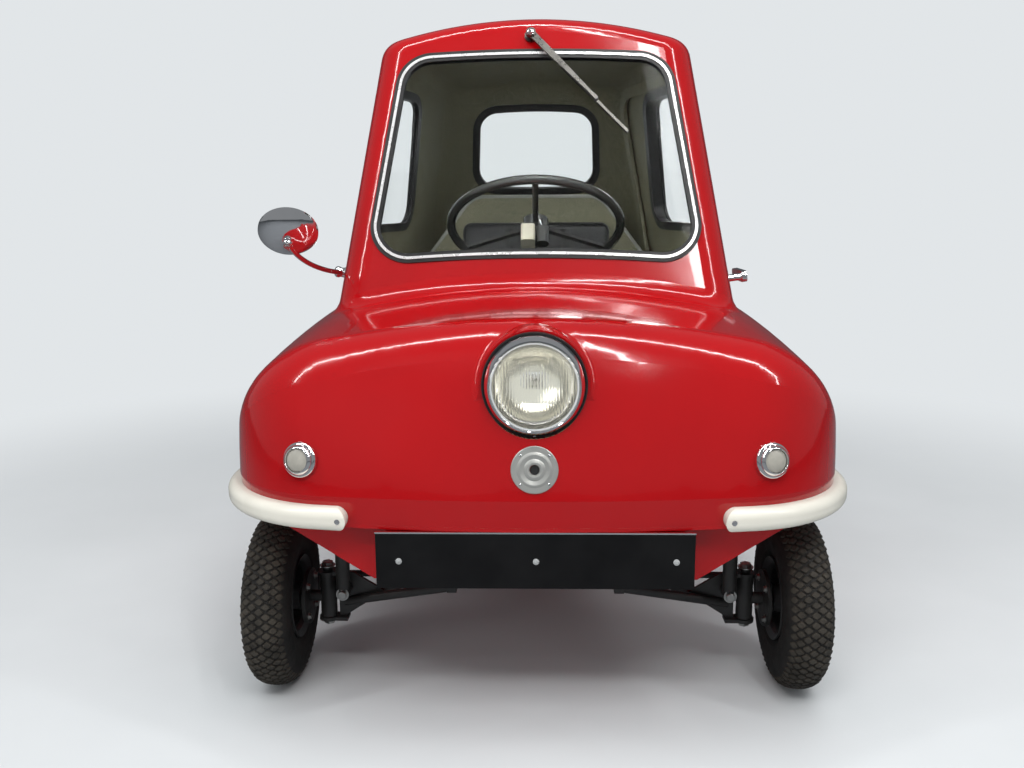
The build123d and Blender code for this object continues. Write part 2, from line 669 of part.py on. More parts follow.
# Mirror: a dished chrome head on a bowed stalk from the right front corner of the cabin
MIRROR_FOOT_D = 500.0
MIRROR_FOOT_Z = 690.0
MIRROR_HEAD = Vector(-425.0, at(330.0), 773.0)
MIRROR_WAY = Vector(-0.13, 0.76, 0.61).normalized()
MIRROR_R = 51.0
MIRROR_DEEP = 24.0
STALK_R = 4.5
foot_plane = skin_plane((-WIDTH, at(MIRROR_FOOT_D), MIRROR_FOOT_Z), (1, 0, 0), (0, 1, 0))
head_back = MIRROR_HEAD - MIRROR_WAY * (MIRROR_DEEP + 5)
stalk_start = foot_plane.origin + foot_plane.z_dir * 4
stalk_line = Edge.make_three_point_arc(stalk_start, (-402.0, at(412.0), 710.0), head_back)
stalk_end_plane = Plane(origin=stalk_start, z_dir=stalk_line.tangent_at(0))
stalk = sweep(stalk_end_plane * Circle(STALK_R), path=stalk_line)
stalk += escutcheon(foot_plane, 15.0)
stalk += Pos(*head_back) * Sphere(8)
mirror_plane = Plane(origin=MIRROR_HEAD, z_dir=MIRROR_WAY)
mirror_head = turned(
    mirror_plane,
    ThreePointArc((0, -MIRROR_DEEP), (32, -17), (MIRROR_R, 0)),
    Polyline((MIRROR_R, 0), (MIRROR_R, 4), (MIRROR_R - 3, 5), (MIRROR_R - 3, 2), (0, 2), (0, -MIRROR_DEEP)),
)
mirror_glass = extrude(mirror_plane.offset(2) * Circle(MIRROR_R - 3 - LAMP_FIT), 2)
save("mirror", stalk + mirror_head)
save("mirror_glass", mirror_glass)

# Plate and bumpers at the front: the bumpers are mouldings round each nose corner
PLATE_X = 468.0
PLATE_Z = 86.0
PLATE_LOW_Z = 261.0
PLATE_FRONT_D = 5.0
PLATE_STAY_X = 190.0
PLATE_STAY_Z = 300.0
PLATE_STAY_HALF = 10.0
BUMPER_LOW_Z = 347.0
BUMPER_HIGH_Z = 382.0
BUMPER_PROUD = 24.0
BUMPER_ROUND = 14.0
BUMPER_INNER_X = 276.0
BUMPER_REACH = 275.0
BUMPER_REAR_D = 262.0
front_plate = box_between(
    -PLATE_X / 2, PLATE_X / 2, PLATE_FRONT_D, PLATE_FRONT_D + PLATE_THICK, PLATE_LOW_Z, PLATE_LOW_Z + PLATE_Z
)
for sign in (-1, 1):
    stay_x = sign * PLATE_STAY_X
    front_plate += box_between(
        stay_x - PLATE_STAY_HALF, stay_x + PLATE_STAY_HALF, PLATE_FRONT_D + PLATE_THICK, VALANCE_D,
        PLATE_STAY_Z - PLATE_STAY_HALF, PLATE_STAY_Z + PLATE_STAY_HALF,
    )
save("front_plate", front_plate)

bumper_tall = BUMPER_HIGH_Z - BUMPER_LOW_Z
bumper_mid = (BUMPER_HIGH_Z + BUMPER_LOW_Z) / 2
bumper_ring = extrude(lower_plan(4.0, LIP_HALF, BUMPER_LOW_Z, -BUMPER_PROUD), bumper_tall)
bumper_rims = [e for e in bumper_ring.edges() if abs(abs(e.center().Z - bumper_mid) - bumper_tall / 2) < 1]
bumper_ring = fillet(bumper_rims, BUMPER_ROUND)
front_view = Plane(origin=(0, at(-20.0), bumper_mid), x_dir=(1, 0, 0), z_dir=(0, -1, 0))
reach_middle = Pos(BUMPER_INNER_X + BUMPER_REACH / 2, 0)
reach = reach_middle * RectangleRounded(BUMPER_REACH, bumper_tall + 0.5, bumper_tall / 2)
bumper_ring &= extrude(front_view * reach, -(BUMPER_REAR_D + 20))
bumper_ring -= body(0.0)
bumper_ring -= extrude(lower_plan(4.0, LIP_HALF, SHELF_Z - 10, 0.0), 20)
bumper = biggest(bumper_ring)
save("bumpers", bumper, mirrored(bumper))

# Floor moulding: a shelf under the body's seam, a valance, a footwell and a tub that narrows
# to the tail, with the rear wheel's housing let into it
TUB_CORNER = 45.0
TUB_LOW_HALF = 325.0
TUB_LOW_REAR = 165.0
TUB_HIGH_HALF = 425.0
TUB_HIGH_REAR = 225.0
FOOTWELL_REAR_D = TUB_FRONT_D + 70.0
FOOTWELL_LOW_HALF = 250.0
WHEEL_HOUSE_HALF = 74.0
WHEEL_HOUSE_TOP = 318.0
WHEEL_HOUSE_D = 992.0
VALANCE_HIGH_HALF = 388.0
VALANCE_LOW_HALF = 246.0


def tub_plan(half_front, half_rear, d_front, d_rear, z, radius):
    corners = [
        (half_front, at(d_front)), (half_rear, at(d_rear)), (-half_rear, at(d_rear)), (-half_front, at(d_front)),
    ]
    face = make_face(Polyline(*[(x, y, z) for x, y in corners], close=True))
    return fillet(face.vertices(), radius) if radius else face


def tub_form(inset, top_z):
    """The tub behind the front wheels: wide in front, narrow at the tail, open upwards."""
    radius = TUB_CORNER - inset
    low = tub_plan(
        TUB_LOW_HALF - inset, TUB_LOW_REAR - inset, TUB_FRONT_D + 20 + inset, TUB_REAR_D - 40 - inset,
        TUB_Z + inset, radius,
    )
    high = tub_plan(
        TUB_HIGH_HALF - inset, TUB_HIGH_REAR - inset, TUB_FRONT_D + inset, TUB_REAR_D - inset, top_z, radius
    )
    return loft([low, high], ruled=True)


def footwell_form(inset, top_z):
    """The footwell between the front wheels, which runs back into the tub."""
    half_low = FOOTWELL_LOW_HALF - inset
    half_high = FOOTWELL_HALF - inset
    low = tub_plan(half_low, half_low, FOOTWELL_FRONT_D + 10 + inset, FOOTWELL_REAR_D, FOOTWELL_Z + inset, 0)
    high = tub_plan(half_high, half_high, FOOTWELL_FRONT_D + inset, FOOTWELL_REAR_D, top_z, 0)
    return loft([low, high], ruled=True)


shelf_face = lower_plan(4.0, LIP_HALF, SHELF_Z, 0.0) + cabin_plan(SHELF_Z, 0.0)
floor_pan = extrude(shelf_face, SEAM_Z - SHELF_Z, dir=(0, 0, 1))
floor_pan += tub_form(0.0, SEAM_Z)
floor_pan += footwell_form(0.0, SEAM_Z)
house = box_between(-WHEEL_HOUSE_HALF, WHEEL_HOUSE_HALF, WHEEL_HOUSE_D, LENGTH, 0.0, WHEEL_HOUSE_TOP)
house_out = WHEEL_HOUSE_HALF + FLOOR_WALL
house_walls = box_between(
    -house_out, house_out, WHEEL_HOUSE_D - FLOOR_WALL, LENGTH, 0.0, WHEEL_HOUSE_TOP + FLOOR_WALL
)
floor_pan -= tub_form(FLOOR_WALL, SEAM_Z + 1.0) - house_walls
floor_pan -= footwell_form(FLOOR_WALL, SEAM_Z + 1.0)
floor_pan -= house
valance_view = Plane(origin=(0, at(VALANCE_D), 0), x_dir=(1, 0, 0), z_dir=(0, -1, 0))
valance_face = make_face(
    Polyline(
        (-VALANCE_HIGH_HALF, SHELF_Z), (VALANCE_HIGH_HALF, SHELF_Z),
        (VALANCE_LOW_HALF, VALANCE_Z), (-VALANCE_LOW_HALF, VALANCE_Z), close=True,
    )
)
floor_pan += extrude(valance_view * valance_face, -FLOOR_WALL)
floor_pan += box_between(
    -VALANCE_LOW_HALF, VALANCE_LOW_HALF, VALANCE_D, FOOTWELL_FRONT_D + 12, VALANCE_Z, VALANCE_Z + FLOOR_WALL
)

# Steering column line: it meets the drop arm's plane so that the arm's slot lies over the rod's pin
COLUMN_WAY = Vector(0, sin(radians(COLUMN_LEAN)), cos(radians(COLUMN_LEAN)))
WHEEL_CENTRE = Vector(0, at(WHEEL_D), WHEEL_Z)
KINGPIN_Y = at(FRONT_AXLE_D)
ROD_Y = KINGPIN_Y + STEER_ARM
COLUMN_LONG = (WHEEL_CENTRE.Y + DROP_ARM * COLUMN_WAY.Z - ROD_Y) / COLUMN_WAY.Y
COLUMN_ROOT = WHEEL_CENTRE - COLUMN_WAY * COLUMN_LONG
COLUMN_HOLE_R = 17.0


def along_column(t):
    """A point on the steering column's axis, t below the steering wheel's centre."""
    return WHEEL_CENTRE - COLUMN_WAY * t


floor_pan -= rod(along_column(COLUMN_LONG - 8), along_column(COLUMN_LONG - 140), COLUMN_HOLE_R)
save("floor_pan", floor_pan)

# Steering wheel, its shaft with the drop arm, and the tube that the shaft turns in
ARM_PLATE = 5.0
ARM_ROOT_R = 15.0
ARM_TIP_R = 12.0
PIN_R = 3.5
SLOT_HALF = 6.0
SLOT_NEAR = DROP_ARM - 2.0
SLOT_FAR = DROP_ARM + 8.5
RIM_TUBE = 9.0
WHEEL_HUB_R = 26.0
WHEEL_HUB_HALF = 16.0
SPOKE_WIDE = 12.0
SPOKE_TURNS = (30, 150, 270)
TUBE_R = 16.0
TUBE_TOP = 22.0
wheel_plane = Plane(origin=WHEEL_CENTRE, x_dir=(1, 0, 0), z_dir=COLUMN_WAY)
steering_wheel = wheel_plane * Torus(STEERING_WHEEL_R, RIM_TUBE)
steering_wheel += rod(along_column(WHEEL_HUB_HALF), along_column(-WHEEL_HUB_HALF), WHEEL_HUB_R)
for turn in SPOKE_TURNS:
    spoke = Rot(0, 0, turn) * Pos(STEERING_WHEEL_R / 2, 0) * Rectangle(STEERING_WHEEL_R, SPOKE_WIDE)
    steering_wheel += extrude(wheel_plane * spoke, 3, both=True)
shaft = rod(COLUMN_ROOT, along_column(TUBE_TOP - 8), SHAFT_R)
save("steering_wheel", steering_wheel - shaft)

arm_plane = Plane(origin=COLUMN_ROOT, x_dir=(1, 0, 0), z_dir=COLUMN_WAY)
drop_long = SLOT_FAR + 6
drop_face = Circle(ARM_ROOT_R) + Pos(0, drop_long / 2) * Rectangle(2 * ARM_TIP_R, drop_long)
drop_face += Pos(0, drop_long) * Circle(ARM_TIP_R)
slot_face = Pos(0, (SLOT_NEAR + SLOT_FAR) / 2) * Rectangle(2 * SLOT_HALF, SLOT_FAR - SLOT_NEAR + 2 * SLOT_HALF)
drop_arm = extrude(arm_plane * (drop_face - slot_face), ARM_PLATE / 2, both=True)
save("steering_shaft", shaft + drop_arm)

# The tube stands on a foot plate with a gusset ahead of it
FOOT_PLATE = 6.0
GUSSET_LONG = 60.0
GUSSET_HIGH = 150.0
foot_z = FOOTWELL_Z + FLOOR_WALL
foot_t = (WHEEL_Z - foot_z) / COLUMN_WAY.Z
foot_d = along_column(foot_t).Y + LENGTH / 2
column_tube = rod(along_column(COLUMN_LONG - 60), along_column(TUBE_TOP), TUBE_R)
column_tube += box_between(-45, 45, foot_d - GUSSET_LONG - 10, foot_d + 42, foot_z, foot_z + FOOT_PLATE)
gusset_head = along_column(foot_t - GUSSET_HIGH)
gusset_face = make_face(
    Polyline(
        (at(foot_d - GUSSET_LONG), foot_z), (at(foot_d), foot_z), (gusset_head.Y, gusset_head.Z), close=True
    )
)
column_tube += extrude(SIDE_VIEW * gusset_face, 2.5, both=True)
column_tube -= rod(along_column(COLUMN_LONG - 40), along_column(TUBE_TOP), SHAFT_R + 0.5)
save("column_tube", column_tube)

# Instrument and switch: two small housings clamped side by side on the column's head
HEAD_BELOW = 40.0
HEAD_AHEAD = 33.0
HEAD_TALL = 36.0
head_plane = Plane(origin=along_column(HEAD_BELOW), x_dir=(1, 0, 0), z_dir=COLUMN_WAY)
tube_space = rod(along_column(COLUMN_LONG - 60), along_column(TUBE_TOP - 1), TUBE_R)
instrument = extrude(head_plane * Pos(-15, -HEAD_AHEAD) * RectangleRounded(28, 38, 6), HEAD_TALL / 2, both=True)
switch = extrude(head_plane * Pos(14, -HEAD_AHEAD) * Circle(13), HEAD_TALL / 2, both=True)
switch += extrude(head_plane * Pos(6, -HEAD_AHEAD + 12) * Rectangle(14, 12), HEAD_TALL / 3, both=True)
save("instrument", instrument - tube_space)
save("column_switch", switch - tube_space - instrument)

# Front running gear: a small frame under the footwell, an arm and a gusset on each side that
# carry the kingpin, and a strut from each gusset up to the floor moulding
PIN_LOW = 108.0
PIN_HIGH = 205.0
PLATE_TOP = 191.0
LUG_THICK = 6.0
KNUCKLE_SPACE_R = 19.0
GUSSET_X = 341.0
GUSSET_EDGE = [(291.0, 140.0), (262.0, 160.0), (318.0, 195.0)]
BAR_R = 8.0
BAR_OUTER = Vector(330.0, 0.0, 140.0)
BAR_INNER = Vector(140.0, 45.0, 186.0)
RAIL_HALF = 8.0
STRUT_X = 328.0
STRUT_LOW_Z = 167.0
STRUT_R = 12.0
STRUT_AHEAD = 27.0
PILLARS = (FRONT_AXLE_D - 45.0, FRONT_AXLE_D + 45.0)
CROSS_BARS = (FRONT_AXLE_D - 17.0, FRONT_AXLE_D + 17.0)


def front_arm():
    """One side's arm: two bars, an upright gusset, two lugs and the kingpin between them."""
    pin = rod((KINGPIN_X, KINGPIN_Y, PIN_LOW), (KINGPIN_X, KINGPIN_Y, PIN_HIGH), KINGPIN_D / 2)
    lug_face = Pos(KINGPIN_X, KINGPIN_Y) * Circle(17)
    lug_face += Pos(KINGPIN_X - 17, KINGPIN_Y) * Rectangle(34, 26)
    low_lug = extrude(Pos(0, 0, PIN_LOW) * lug_face, LUG_THICK)
    high_lug = extrude(Pos(0, 0, PLATE_TOP) * lug_face, LUG_THICK)
    outline = Polyline((GUSSET_X, PLATE_TOP + LUG_THICK), (GUSSET_X, PIN_LOW), *GUSSET_EDGE, close=True)
    gusset_plane = Plane(origin=(0, KINGPIN_Y + 3, 0), x_dir=(1, 0, 0), z_dir=(0, -1, 0))
    arm = pin + low_lug + high_lug + extrude(gusset_plane * make_face(outline), 6)
    for sign in (-1, 1):
        start = (BAR_OUTER.X, KINGPIN_Y, BAR_OUTER.Z)
        end = (BAR_INNER.X, KINGPIN_Y + sign * BAR_INNER.Y, BAR_INNER.Z)
        arm += rod(start, end, BAR_R)
    keep_out = rod(
        (KINGPIN_X, KINGPIN_Y, PIN_LOW + LUG_THICK), (KINGPIN_X, KINGPIN_Y, PLATE_TOP), KNUCKLE_SPACE_R
    ) - pin
    return arm - keep_out


front_frame = None
for sign in (-1, 1):
    rail_x = sign * BAR_INNER.X
    rail = box_between(
        rail_x - RAIL_HALF, rail_x + RAIL_HALF, PILLARS[0] - 8, PILLARS[1] + 8,
        BAR_INNER.Z - RAIL_HALF, BAR_INNER.Z + RAIL_HALF,
    )
    front_frame = rail if front_frame is None else front_frame + rail
    for pillar_d in PILLARS:
        front_frame += box_between(
            rail_x - RAIL_HALF, rail_x + RAIL_HALF, pillar_d - 8, pillar_d + 8, BAR_INNER.Z, FOOTWELL_Z
        )
for cross_d in CROSS_BARS:
    front_frame += box_between(
        -BAR_INNER.X, BAR_INNER.X, cross_d - 7, cross_d + 7, BAR_INNER.Z - RAIL_HALF, BAR_INNER.Z + RAIL_HALF
    )
left_arm = front_arm()
front_frame += left_arm
front_frame += mirrored(left_arm)
save("front_frame", front_frame)

strut_y = KINGPIN_Y - STRUT_AHEAD
left_strut = rod((STRUT_X, strut_y - 9, STRUT_LOW_Z), (STRUT_X, KINGPIN_Y - 3, STRUT_LOW_Z), 11)
left_strut += rod((STRUT_X, strut_y, STRUT_LOW_Z), (STRUT_X, strut_y, STRUT_LOW_Z + 105), STRUT_R)
left_strut += rod((STRUT_X, strut_y, STRUT_LOW_Z), (STRUT_X, strut_y, SHELF_Z), 6)
left_strut -= left_arm
save("front_struts", left_strut, mirrored(left_strut))


def knuckle():
    """One side's knuckle: sleeve on the kingpin, stub axle, backing plate and steering arm."""
    sleeve = rod((KINGPIN_X, KINGPIN_Y, PIN_LOW + 7), (KINGPIN_X, KINGPIN_Y, PLATE_TOP - 1), 14)
    stub = rod((KINGPIN_X + 4, KINGPIN_Y, TYRE_R), (TRACK / 2 + 26, KINGPIN_Y, TYRE_R), HUB_BORE / 2)
    backing = rod((TRACK / 2 - 50, KINGPIN_Y, TYRE_R), (TRACK / 2 - 44, KINGPIN_Y, TYRE_R), 48)
    arm_low = TIE_ROD_Z - 20
    arm_high = TIE_ROD_Z - 12
    arm_bar = box_between(
        KINGPIN_X - 8, KINGPIN_X + 8, FRONT_AXLE_D, FRONT_AXLE_D + STEER_ARM, arm_low, arm_high
    )
    ball = rod((KINGPIN_X, ROD_Y, arm_low), (KINGPIN_X, ROD_Y, TIE_ROD_Z + 9), 5)
    boss = rod((KINGPIN_X, ROD_Y, arm_low), (KINGPIN_X, ROD_Y, arm_high), 10)
    bore = rod((KINGPIN_X, KINGPIN_Y, PIN_LOW), (KINGPIN_X, KINGPIN_Y, PIN_HIGH), KINGPIN_D / 2 + 0.3)
    return sleeve + stub + backing + arm_bar - bore + ball + boss


left_knuckle = knuckle()
save("knuckle_left", left_knuckle)
save("knuckle_right", mirrored(left_knuckle))

# Track rod: it joins the knuckles' arms, and its middle pin stands in the drop arm's slot
tie_rod = rod((-KINGPIN_X, ROD_Y, TIE_ROD_Z), (KINGPIN_X, ROD_Y, TIE_ROD_Z), 6)
for sign in (-1, 1):
    eye_x = sign * KINGPIN_X
    tie_rod += rod((eye_x, ROD_Y, TIE_ROD_Z - 7), (eye_x, ROD_Y, TIE_ROD_Z + 7), 11)
for sign in (-1, 1):
    eye_x = sign * KINGPIN_X
    tie_rod -= rod((eye_x, ROD_Y, TIE_ROD_Z - 8), (eye_x, ROD_Y, TIE_ROD_Z + 8), 5.4)
pin_top = COLUMN_ROOT.Z - DROP_ARM * COLUMN_WAY.Y + 12
tie_rod += rod((0, ROD_Y, TIE_ROD_Z), (0, ROD_Y, pin_top), PIN_R)
save("tie_rod", tie_rod)

# Wheels: a balloon tyre on a pressed five inch rim with its hub
HUB_R = 24.0
# x across, radius: one half of each section, from the bead outwards
TYRE_HALF = [(26.0, 64.0), (37.0, 82.0), (40.0, 110.0), (31.0, 139.0)]
RIM_HALF = [(26.0, 63.7), (32.5, 70.4), (35.5, 70.4), (29.5, 60.0), (22.0, 57.0)]


def wheel_ring(half_section, middle):
    """A ring about X: a half section, the points on the middle line, and its mirror image."""
    other = [(-x, r) for x, r in reversed(half_section)]
    outline = make_face(Polyline(*half_section, *middle, *other, close=True))
    return revolve(outline, axis=Axis.X, revolution_arc=360)


def rim(x, d):
    """A rim with a well, a dished disc and a hub bored for its axle."""
    section = RIM_HALF + [(-a, r) for a, r in reversed(RIM_HALF)]
    barrel = revolve(make_face(Polyline(*section, close=True)), axis=Axis.X, revolution_arc=360)
    dish = revolve(
        make_face(Polyline((8, 0), (12, 0), (12, 34), (2, 48), (2, 60), (-3, 60), (-3, 46), (8, 32), close=True)),
        axis=Axis.X, revolution_arc=360,
    )
    hub = extrude(Plane.YZ.offset(-34) * Circle(HUB_R), 62)
    solid = barrel + dish + hub - extrude(Plane.YZ.offset(-60) * Circle(HUB_BORE / 2 + 0.3), 120)
    return Pos(x, at(d), TYRE_R) * solid


# name, x, d
WHEELS = [
    ("front_left", TRACK / 2, FRONT_AXLE_D),
    ("front_right", -TRACK / 2, FRONT_AXLE_D),
    ("rear", 0.0, REAR_AXLE_D),
]
for name, x, d in WHEELS:
    save(f"tyre_{name}", Pos(x, at(d), TYRE_R) * wheel_ring(TYRE_HALF, [(0.0, TYRE_R)]))
    left_rim = rim(abs(x), d)
    save(f"rim_{name}", mirrored(left_rim) if x < 0 else left_rim)

# Rear wheel's fork on its pivot under the tub, and the struts over it
FORK_X = 62.0
PIVOT_D = 978.0
PIVOT_Z = 162.0
LUG_HALF_D = 13.0
REAR_STRUT_D = 1110.0
fork = rod((-FORK_X - 4, at(PIVOT_D), PIVOT_Z), (FORK_X + 4, at(PIVOT_D), PIVOT_Z), 9)
fork += rod((-FORK_X - 4, at(REAR_AXLE_D), TYRE_R), (FORK_X + 4, at(REAR_AXLE_D), TYRE_R), HUB_BORE / 2)
for sign in (-1, 1):
    side_x = sign * FORK_X
    fork += rod((side_x, at(REAR_AXLE_D), TYRE_R), (side_x, at(PIVOT_D), PIVOT_Z), 8)
    lug_x = sign * (FORK_X + 9)
    fork += box_between(lug_x - 5, lug_x + 5, PIVOT_D - LUG_HALF_D, PIVOT_D + LUG_HALF_D, PIVOT_Z - 12, TUB_Z)
    strut = rod((side_x, at(REAR_STRUT_D), TYRE_R), (side_x, at(REAR_STRUT_D - 20), WHEEL_HOUSE_TOP + 20), 6)
    cover_low = (side_x, at(REAR_STRUT_D - 6), TYRE_R + 58)
    strut += rod(cover_low, (side_x, at(REAR_STRUT_D - 14), WHEEL_HOUSE_TOP - 30), 9)
    strut &= box_between(-90, 90, REAR_STRUT_D - 60, REAR_STRUT_D + 60, TYRE_R, WHEEL_HOUSE_TOP)
    fork += strut
save("rear_fork", fork)

# Exhaust: a small silencer and its tail pipe, hung under the tub beside the rear wheel
SILENCER_X = -118.0
SILENCER_Z = 146.0
SILENCER_R = 27.0
SILENCER_FRONT_D = 960.0
SILENCER_REAR_D = 1150.0
PIPE_END_D = 1335.0
PIPE_R = 11.0
PIPE_BORE_R = 9.0
PIPE_BORE_D = 1170.0
DOWN_PIPE_D = 900.0
STRAP_DS = (990.0, 1130.0)


def down_the_silencer(d, up=0.0):
    """A point on the silencer's axis, or above it."""
    return (SILENCER_X, at(d), SILENCER_Z + up)


exhaust = rod(down_the_silencer(SILENCER_FRONT_D), down_the_silencer(SILENCER_REAR_D), SILENCER_R)
exhaust += rod(down_the_silencer(SILENCER_REAR_D), down_the_silencer(PIPE_END_D), PIPE_R)
exhaust -= rod(down_the_silencer(PIPE_BORE_D), down_the_silencer(PIPE_END_D + 1), PIPE_BORE_R)
down_pipe = rod(down_the_silencer(SILENCER_FRONT_D, 8), (SILENCER_X, at(DOWN_PIPE_D), TUB_Z), PIPE_R)
exhaust += down_pipe & box_between(
    SILENCER_X - 2 * PIPE_R, SILENCER_X + 2 * PIPE_R, DOWN_PIPE_D - 2 * PIPE_R, SILENCER_FRONT_D + 2, 0, TUB_Z
)
for strap_d in STRAP_DS:
    exhaust += box_between(SILENCER_X - 8, SILENCER_X + 8, strap_d - 3, strap_d + 3, SILENCER_Z, TUB_Z)
save("exhaust", exhaust)

# Inside: seat, controls and the engine's block
TUB_FLOOR_Z = TUB_Z + FLOOR_WALL
SEAT_HALF = 185.0
SEAT_TOP = 400.0
SEAT_FRONT_D = 680.0
SEAT_REAR_D = 900.0
save("seat_base", box_between(-SEAT_HALF, SEAT_HALF, SEAT_FRONT_D, SEAT_REAR_D, TUB_FLOOR_Z, SEAT_TOP))

# The moulding behind the seat: a ledge over the engine and an upright panel with round corners
PANEL_LOW_D = 968.0
PANEL_LEAN = 5.1
PANEL_THICK = 8.0
panel_plane = Plane(
    origin=(0, at(PANEL_LOW_D), SEAT_TOP - PANEL_THICK), x_dir=(-1, 0, 0),
    z_dir=(0, cos(radians(PANEL_LEAN)), -sin(radians(PANEL_LEAN))),
)
panel_face = make_face(
    Polyline((-285, 0), (285, 0), (262, 300), (152, 445), (-152, 445), (-262, 300), close=True)
)
panel_tops = [v for v in panel_face.vertices() if v.Y > 200]
seat_shell = extrude(panel_plane * fillet(panel_tops, 60), PANEL_THICK)
seat_shell += box_between(
    -SEAT_HALF, SEAT_HALF, SEAT_REAR_D, PANEL_LOW_D + PANEL_THICK, SEAT_TOP - PANEL_THICK, SEAT_TOP
)
save("seat_shell", seat_shell)

CUSHION_EDGE = 14.0
cushion = box_between(-180, 180, 660, 905, SEAT_TOP + SEAT_GAP, SEAT_TOP + 55)
save("seat_cushion", fillet(cushion.edges(), CUSHION_EDGE))
BACK_TOP_Z = 780.0
back_low_z = SEAT_TOP + SEAT_GAP
back_low_d = PANEL_LOW_D - SEAT_GAP
back_top_d = back_low_d + (BACK_TOP_Z - back_low_z) * tan(radians(PANEL_LEAN))
back_face = make_face(
    Polyline(
        (at(908), back_low_z), (at(back_low_d), back_low_z), (at(back_top_d), BACK_TOP_Z),
        (at(back_top_d - 45), BACK_TOP_Z), close=True,
    )
)
seat_back = extrude(Plane(origin=(-178, 0, 0), x_dir=(0, 1, 0), z_dir=(1, 0, 0)) * back_face, 356)
save("seat_back", fillet(seat_back.edges(), CUSHION_EDGE))

# Pedals on a cross rod, each a pad on an arm: x
PEDAL_D = 210.0
PEDAL_XS = (-120.0, -60.0, 60.0)
pedals = rod((-150, at(PEDAL_D), foot_z + 10), (90, at(PEDAL_D), foot_z + 10), 6)
for x in (-145.0, 85.0):
    pedals += box_between(x - 4, x + 4, PEDAL_D - 12, PEDAL_D + 12, foot_z, foot_z + 20)
for x in PEDAL_XS:
    pedals += rod((x, at(PEDAL_D), foot_z + 10), (x, at(PEDAL_D - 24), foot_z + 96), 5)
    pad = Plane(origin=(x, at(PEDAL_D - 26), foot_z + 104), x_dir=(1, 0, 0), z_dir=(0, 0.94, 0.34))
    pedals += extrude(pad * RectangleRounded(44, 56, 8), 5, both=True)
save("pedals", pedals)

# Levers beside the driver, on the right: gear lever, and hand brake behind it
GEAR_FOOT = Vector(-254.0, at(610.0), TUB_FLOOR_Z)
GEAR_REACH = Vector(12.0, -40.0, 262.0)
KNOB_R = 19.0
LEVER_R = 6.0
GATE_ACROSS = 44.0
GATE_LONG = 60.0
GATE_HIGH = 30.0
gear_knob = GEAR_FOOT + GEAR_REACH
gear_lever = rod(GEAR_FOOT, gear_knob, LEVER_R) + Pos(*gear_knob) * Sphere(KNOB_R)
gate = Pos(*GEAR_FOOT) * Pos(0, 0, GATE_HIGH / 2) * Box(GATE_ACROSS, GATE_LONG, GATE_HIGH)
gear_lever += gate
gear_lever -= gate.moved(Pos(0, 0, -GATE_HIGH))
BRAKE_FOOT = Vector(-236.0, at(740.0), TUB_FLOOR_Z)
BRAKE_PIVOT_UP = 18.0
BRAKE_REACH = Vector(0.0, -118.0, 150.0)
BRAKE_GRIP_R = 11.0
brake_pivot = BRAKE_FOOT + Vector(0, 0, BRAKE_PIVOT_UP)
brake_tip = brake_pivot + BRAKE_REACH
brake_grip = brake_pivot + BRAKE_REACH * 0.55
hand_brake = rod(brake_pivot, brake_tip, LEVER_R) + rod(brake_grip, brake_tip, BRAKE_GRIP_R)
hand_brake += Pos(*brake_pivot) * Box(20, 70, 2 * BRAKE_PIVOT_UP)
save("levers", gear_lever, hand_brake)

# The engine, one plain block on the tub's floor behind the seat
ENGINE_X = -137.0
ENGINE_D = 1002.5
ENGINE_ACROSS = 106.0
ENGINE_LONG = 155.0
ENGINE_TOP_Z = 390.0
engine_at = Pos(ENGINE_X, at(ENGINE_D), (ENGINE_TOP_Z + TUB_FLOOR_Z) / 2)
save("engine_block", engine_at * Box(ENGINE_ACROSS, ENGINE_LONG, ENGINE_TOP_Z - TUB_FLOOR_Z))

os.makedirs("parts", exist_ok=True)
for name, shape in nodes.items():
    print(name, len(shape.solids()), round(shape.volume / 1000), shape.is_valid)
    export_step(shape, f"parts/{name}.step")
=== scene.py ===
import math

import bmesh
import bpy
import numpy as np
from mathutils import Matrix, Vector


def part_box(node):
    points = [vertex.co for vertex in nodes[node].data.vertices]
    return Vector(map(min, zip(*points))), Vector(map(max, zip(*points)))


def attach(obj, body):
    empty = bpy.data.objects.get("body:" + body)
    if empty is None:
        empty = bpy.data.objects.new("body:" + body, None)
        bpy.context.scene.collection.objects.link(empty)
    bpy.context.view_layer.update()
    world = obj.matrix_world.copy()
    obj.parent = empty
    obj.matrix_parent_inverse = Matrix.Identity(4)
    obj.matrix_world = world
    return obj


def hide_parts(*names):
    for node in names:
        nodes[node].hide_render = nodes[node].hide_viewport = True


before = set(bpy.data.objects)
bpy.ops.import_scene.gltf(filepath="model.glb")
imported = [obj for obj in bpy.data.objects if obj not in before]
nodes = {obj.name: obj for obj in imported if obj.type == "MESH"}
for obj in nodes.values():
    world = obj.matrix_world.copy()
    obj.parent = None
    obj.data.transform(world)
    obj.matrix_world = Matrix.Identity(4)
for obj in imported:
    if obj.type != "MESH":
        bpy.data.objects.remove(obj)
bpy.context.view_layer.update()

# The studio: a plain pale floor that curves up into a plain backdrop, under long soft lamps and
# large ones in front and behind. It isn't part of the car. Far from the car the floor is plain
# white to the camera and through glass. Gloss sees floor and air dimmer than the camera does.
FLOOR_REACH = 9.0
SWEEP_START = 4.5
SWEEP_RADIUS = 2.5
SWEEP_STEPS = 12
BACKDROP_HEIGHT = 7.0
FLOOR_GREY = (0.55, 0.57, 0.58)
FLOOR_PALE = (0.60, 0.62, 0.63)
FLOOR_IN_GLOSS = (0.16, 0.17, 0.18, 1.0)
BACKDROP_WHITE = (0.76, 0.79, 0.81, 1.0)
WHITE_FROM = 0.8
WHITE_FULL = 2.7
AIR_COLOUR = (0.74, 0.77, 0.80, 1.0)
AIR_IN_VIEW = 1.03
AIR_LIGHT = 0.45
AIR_IN_GLOSS = 0.32


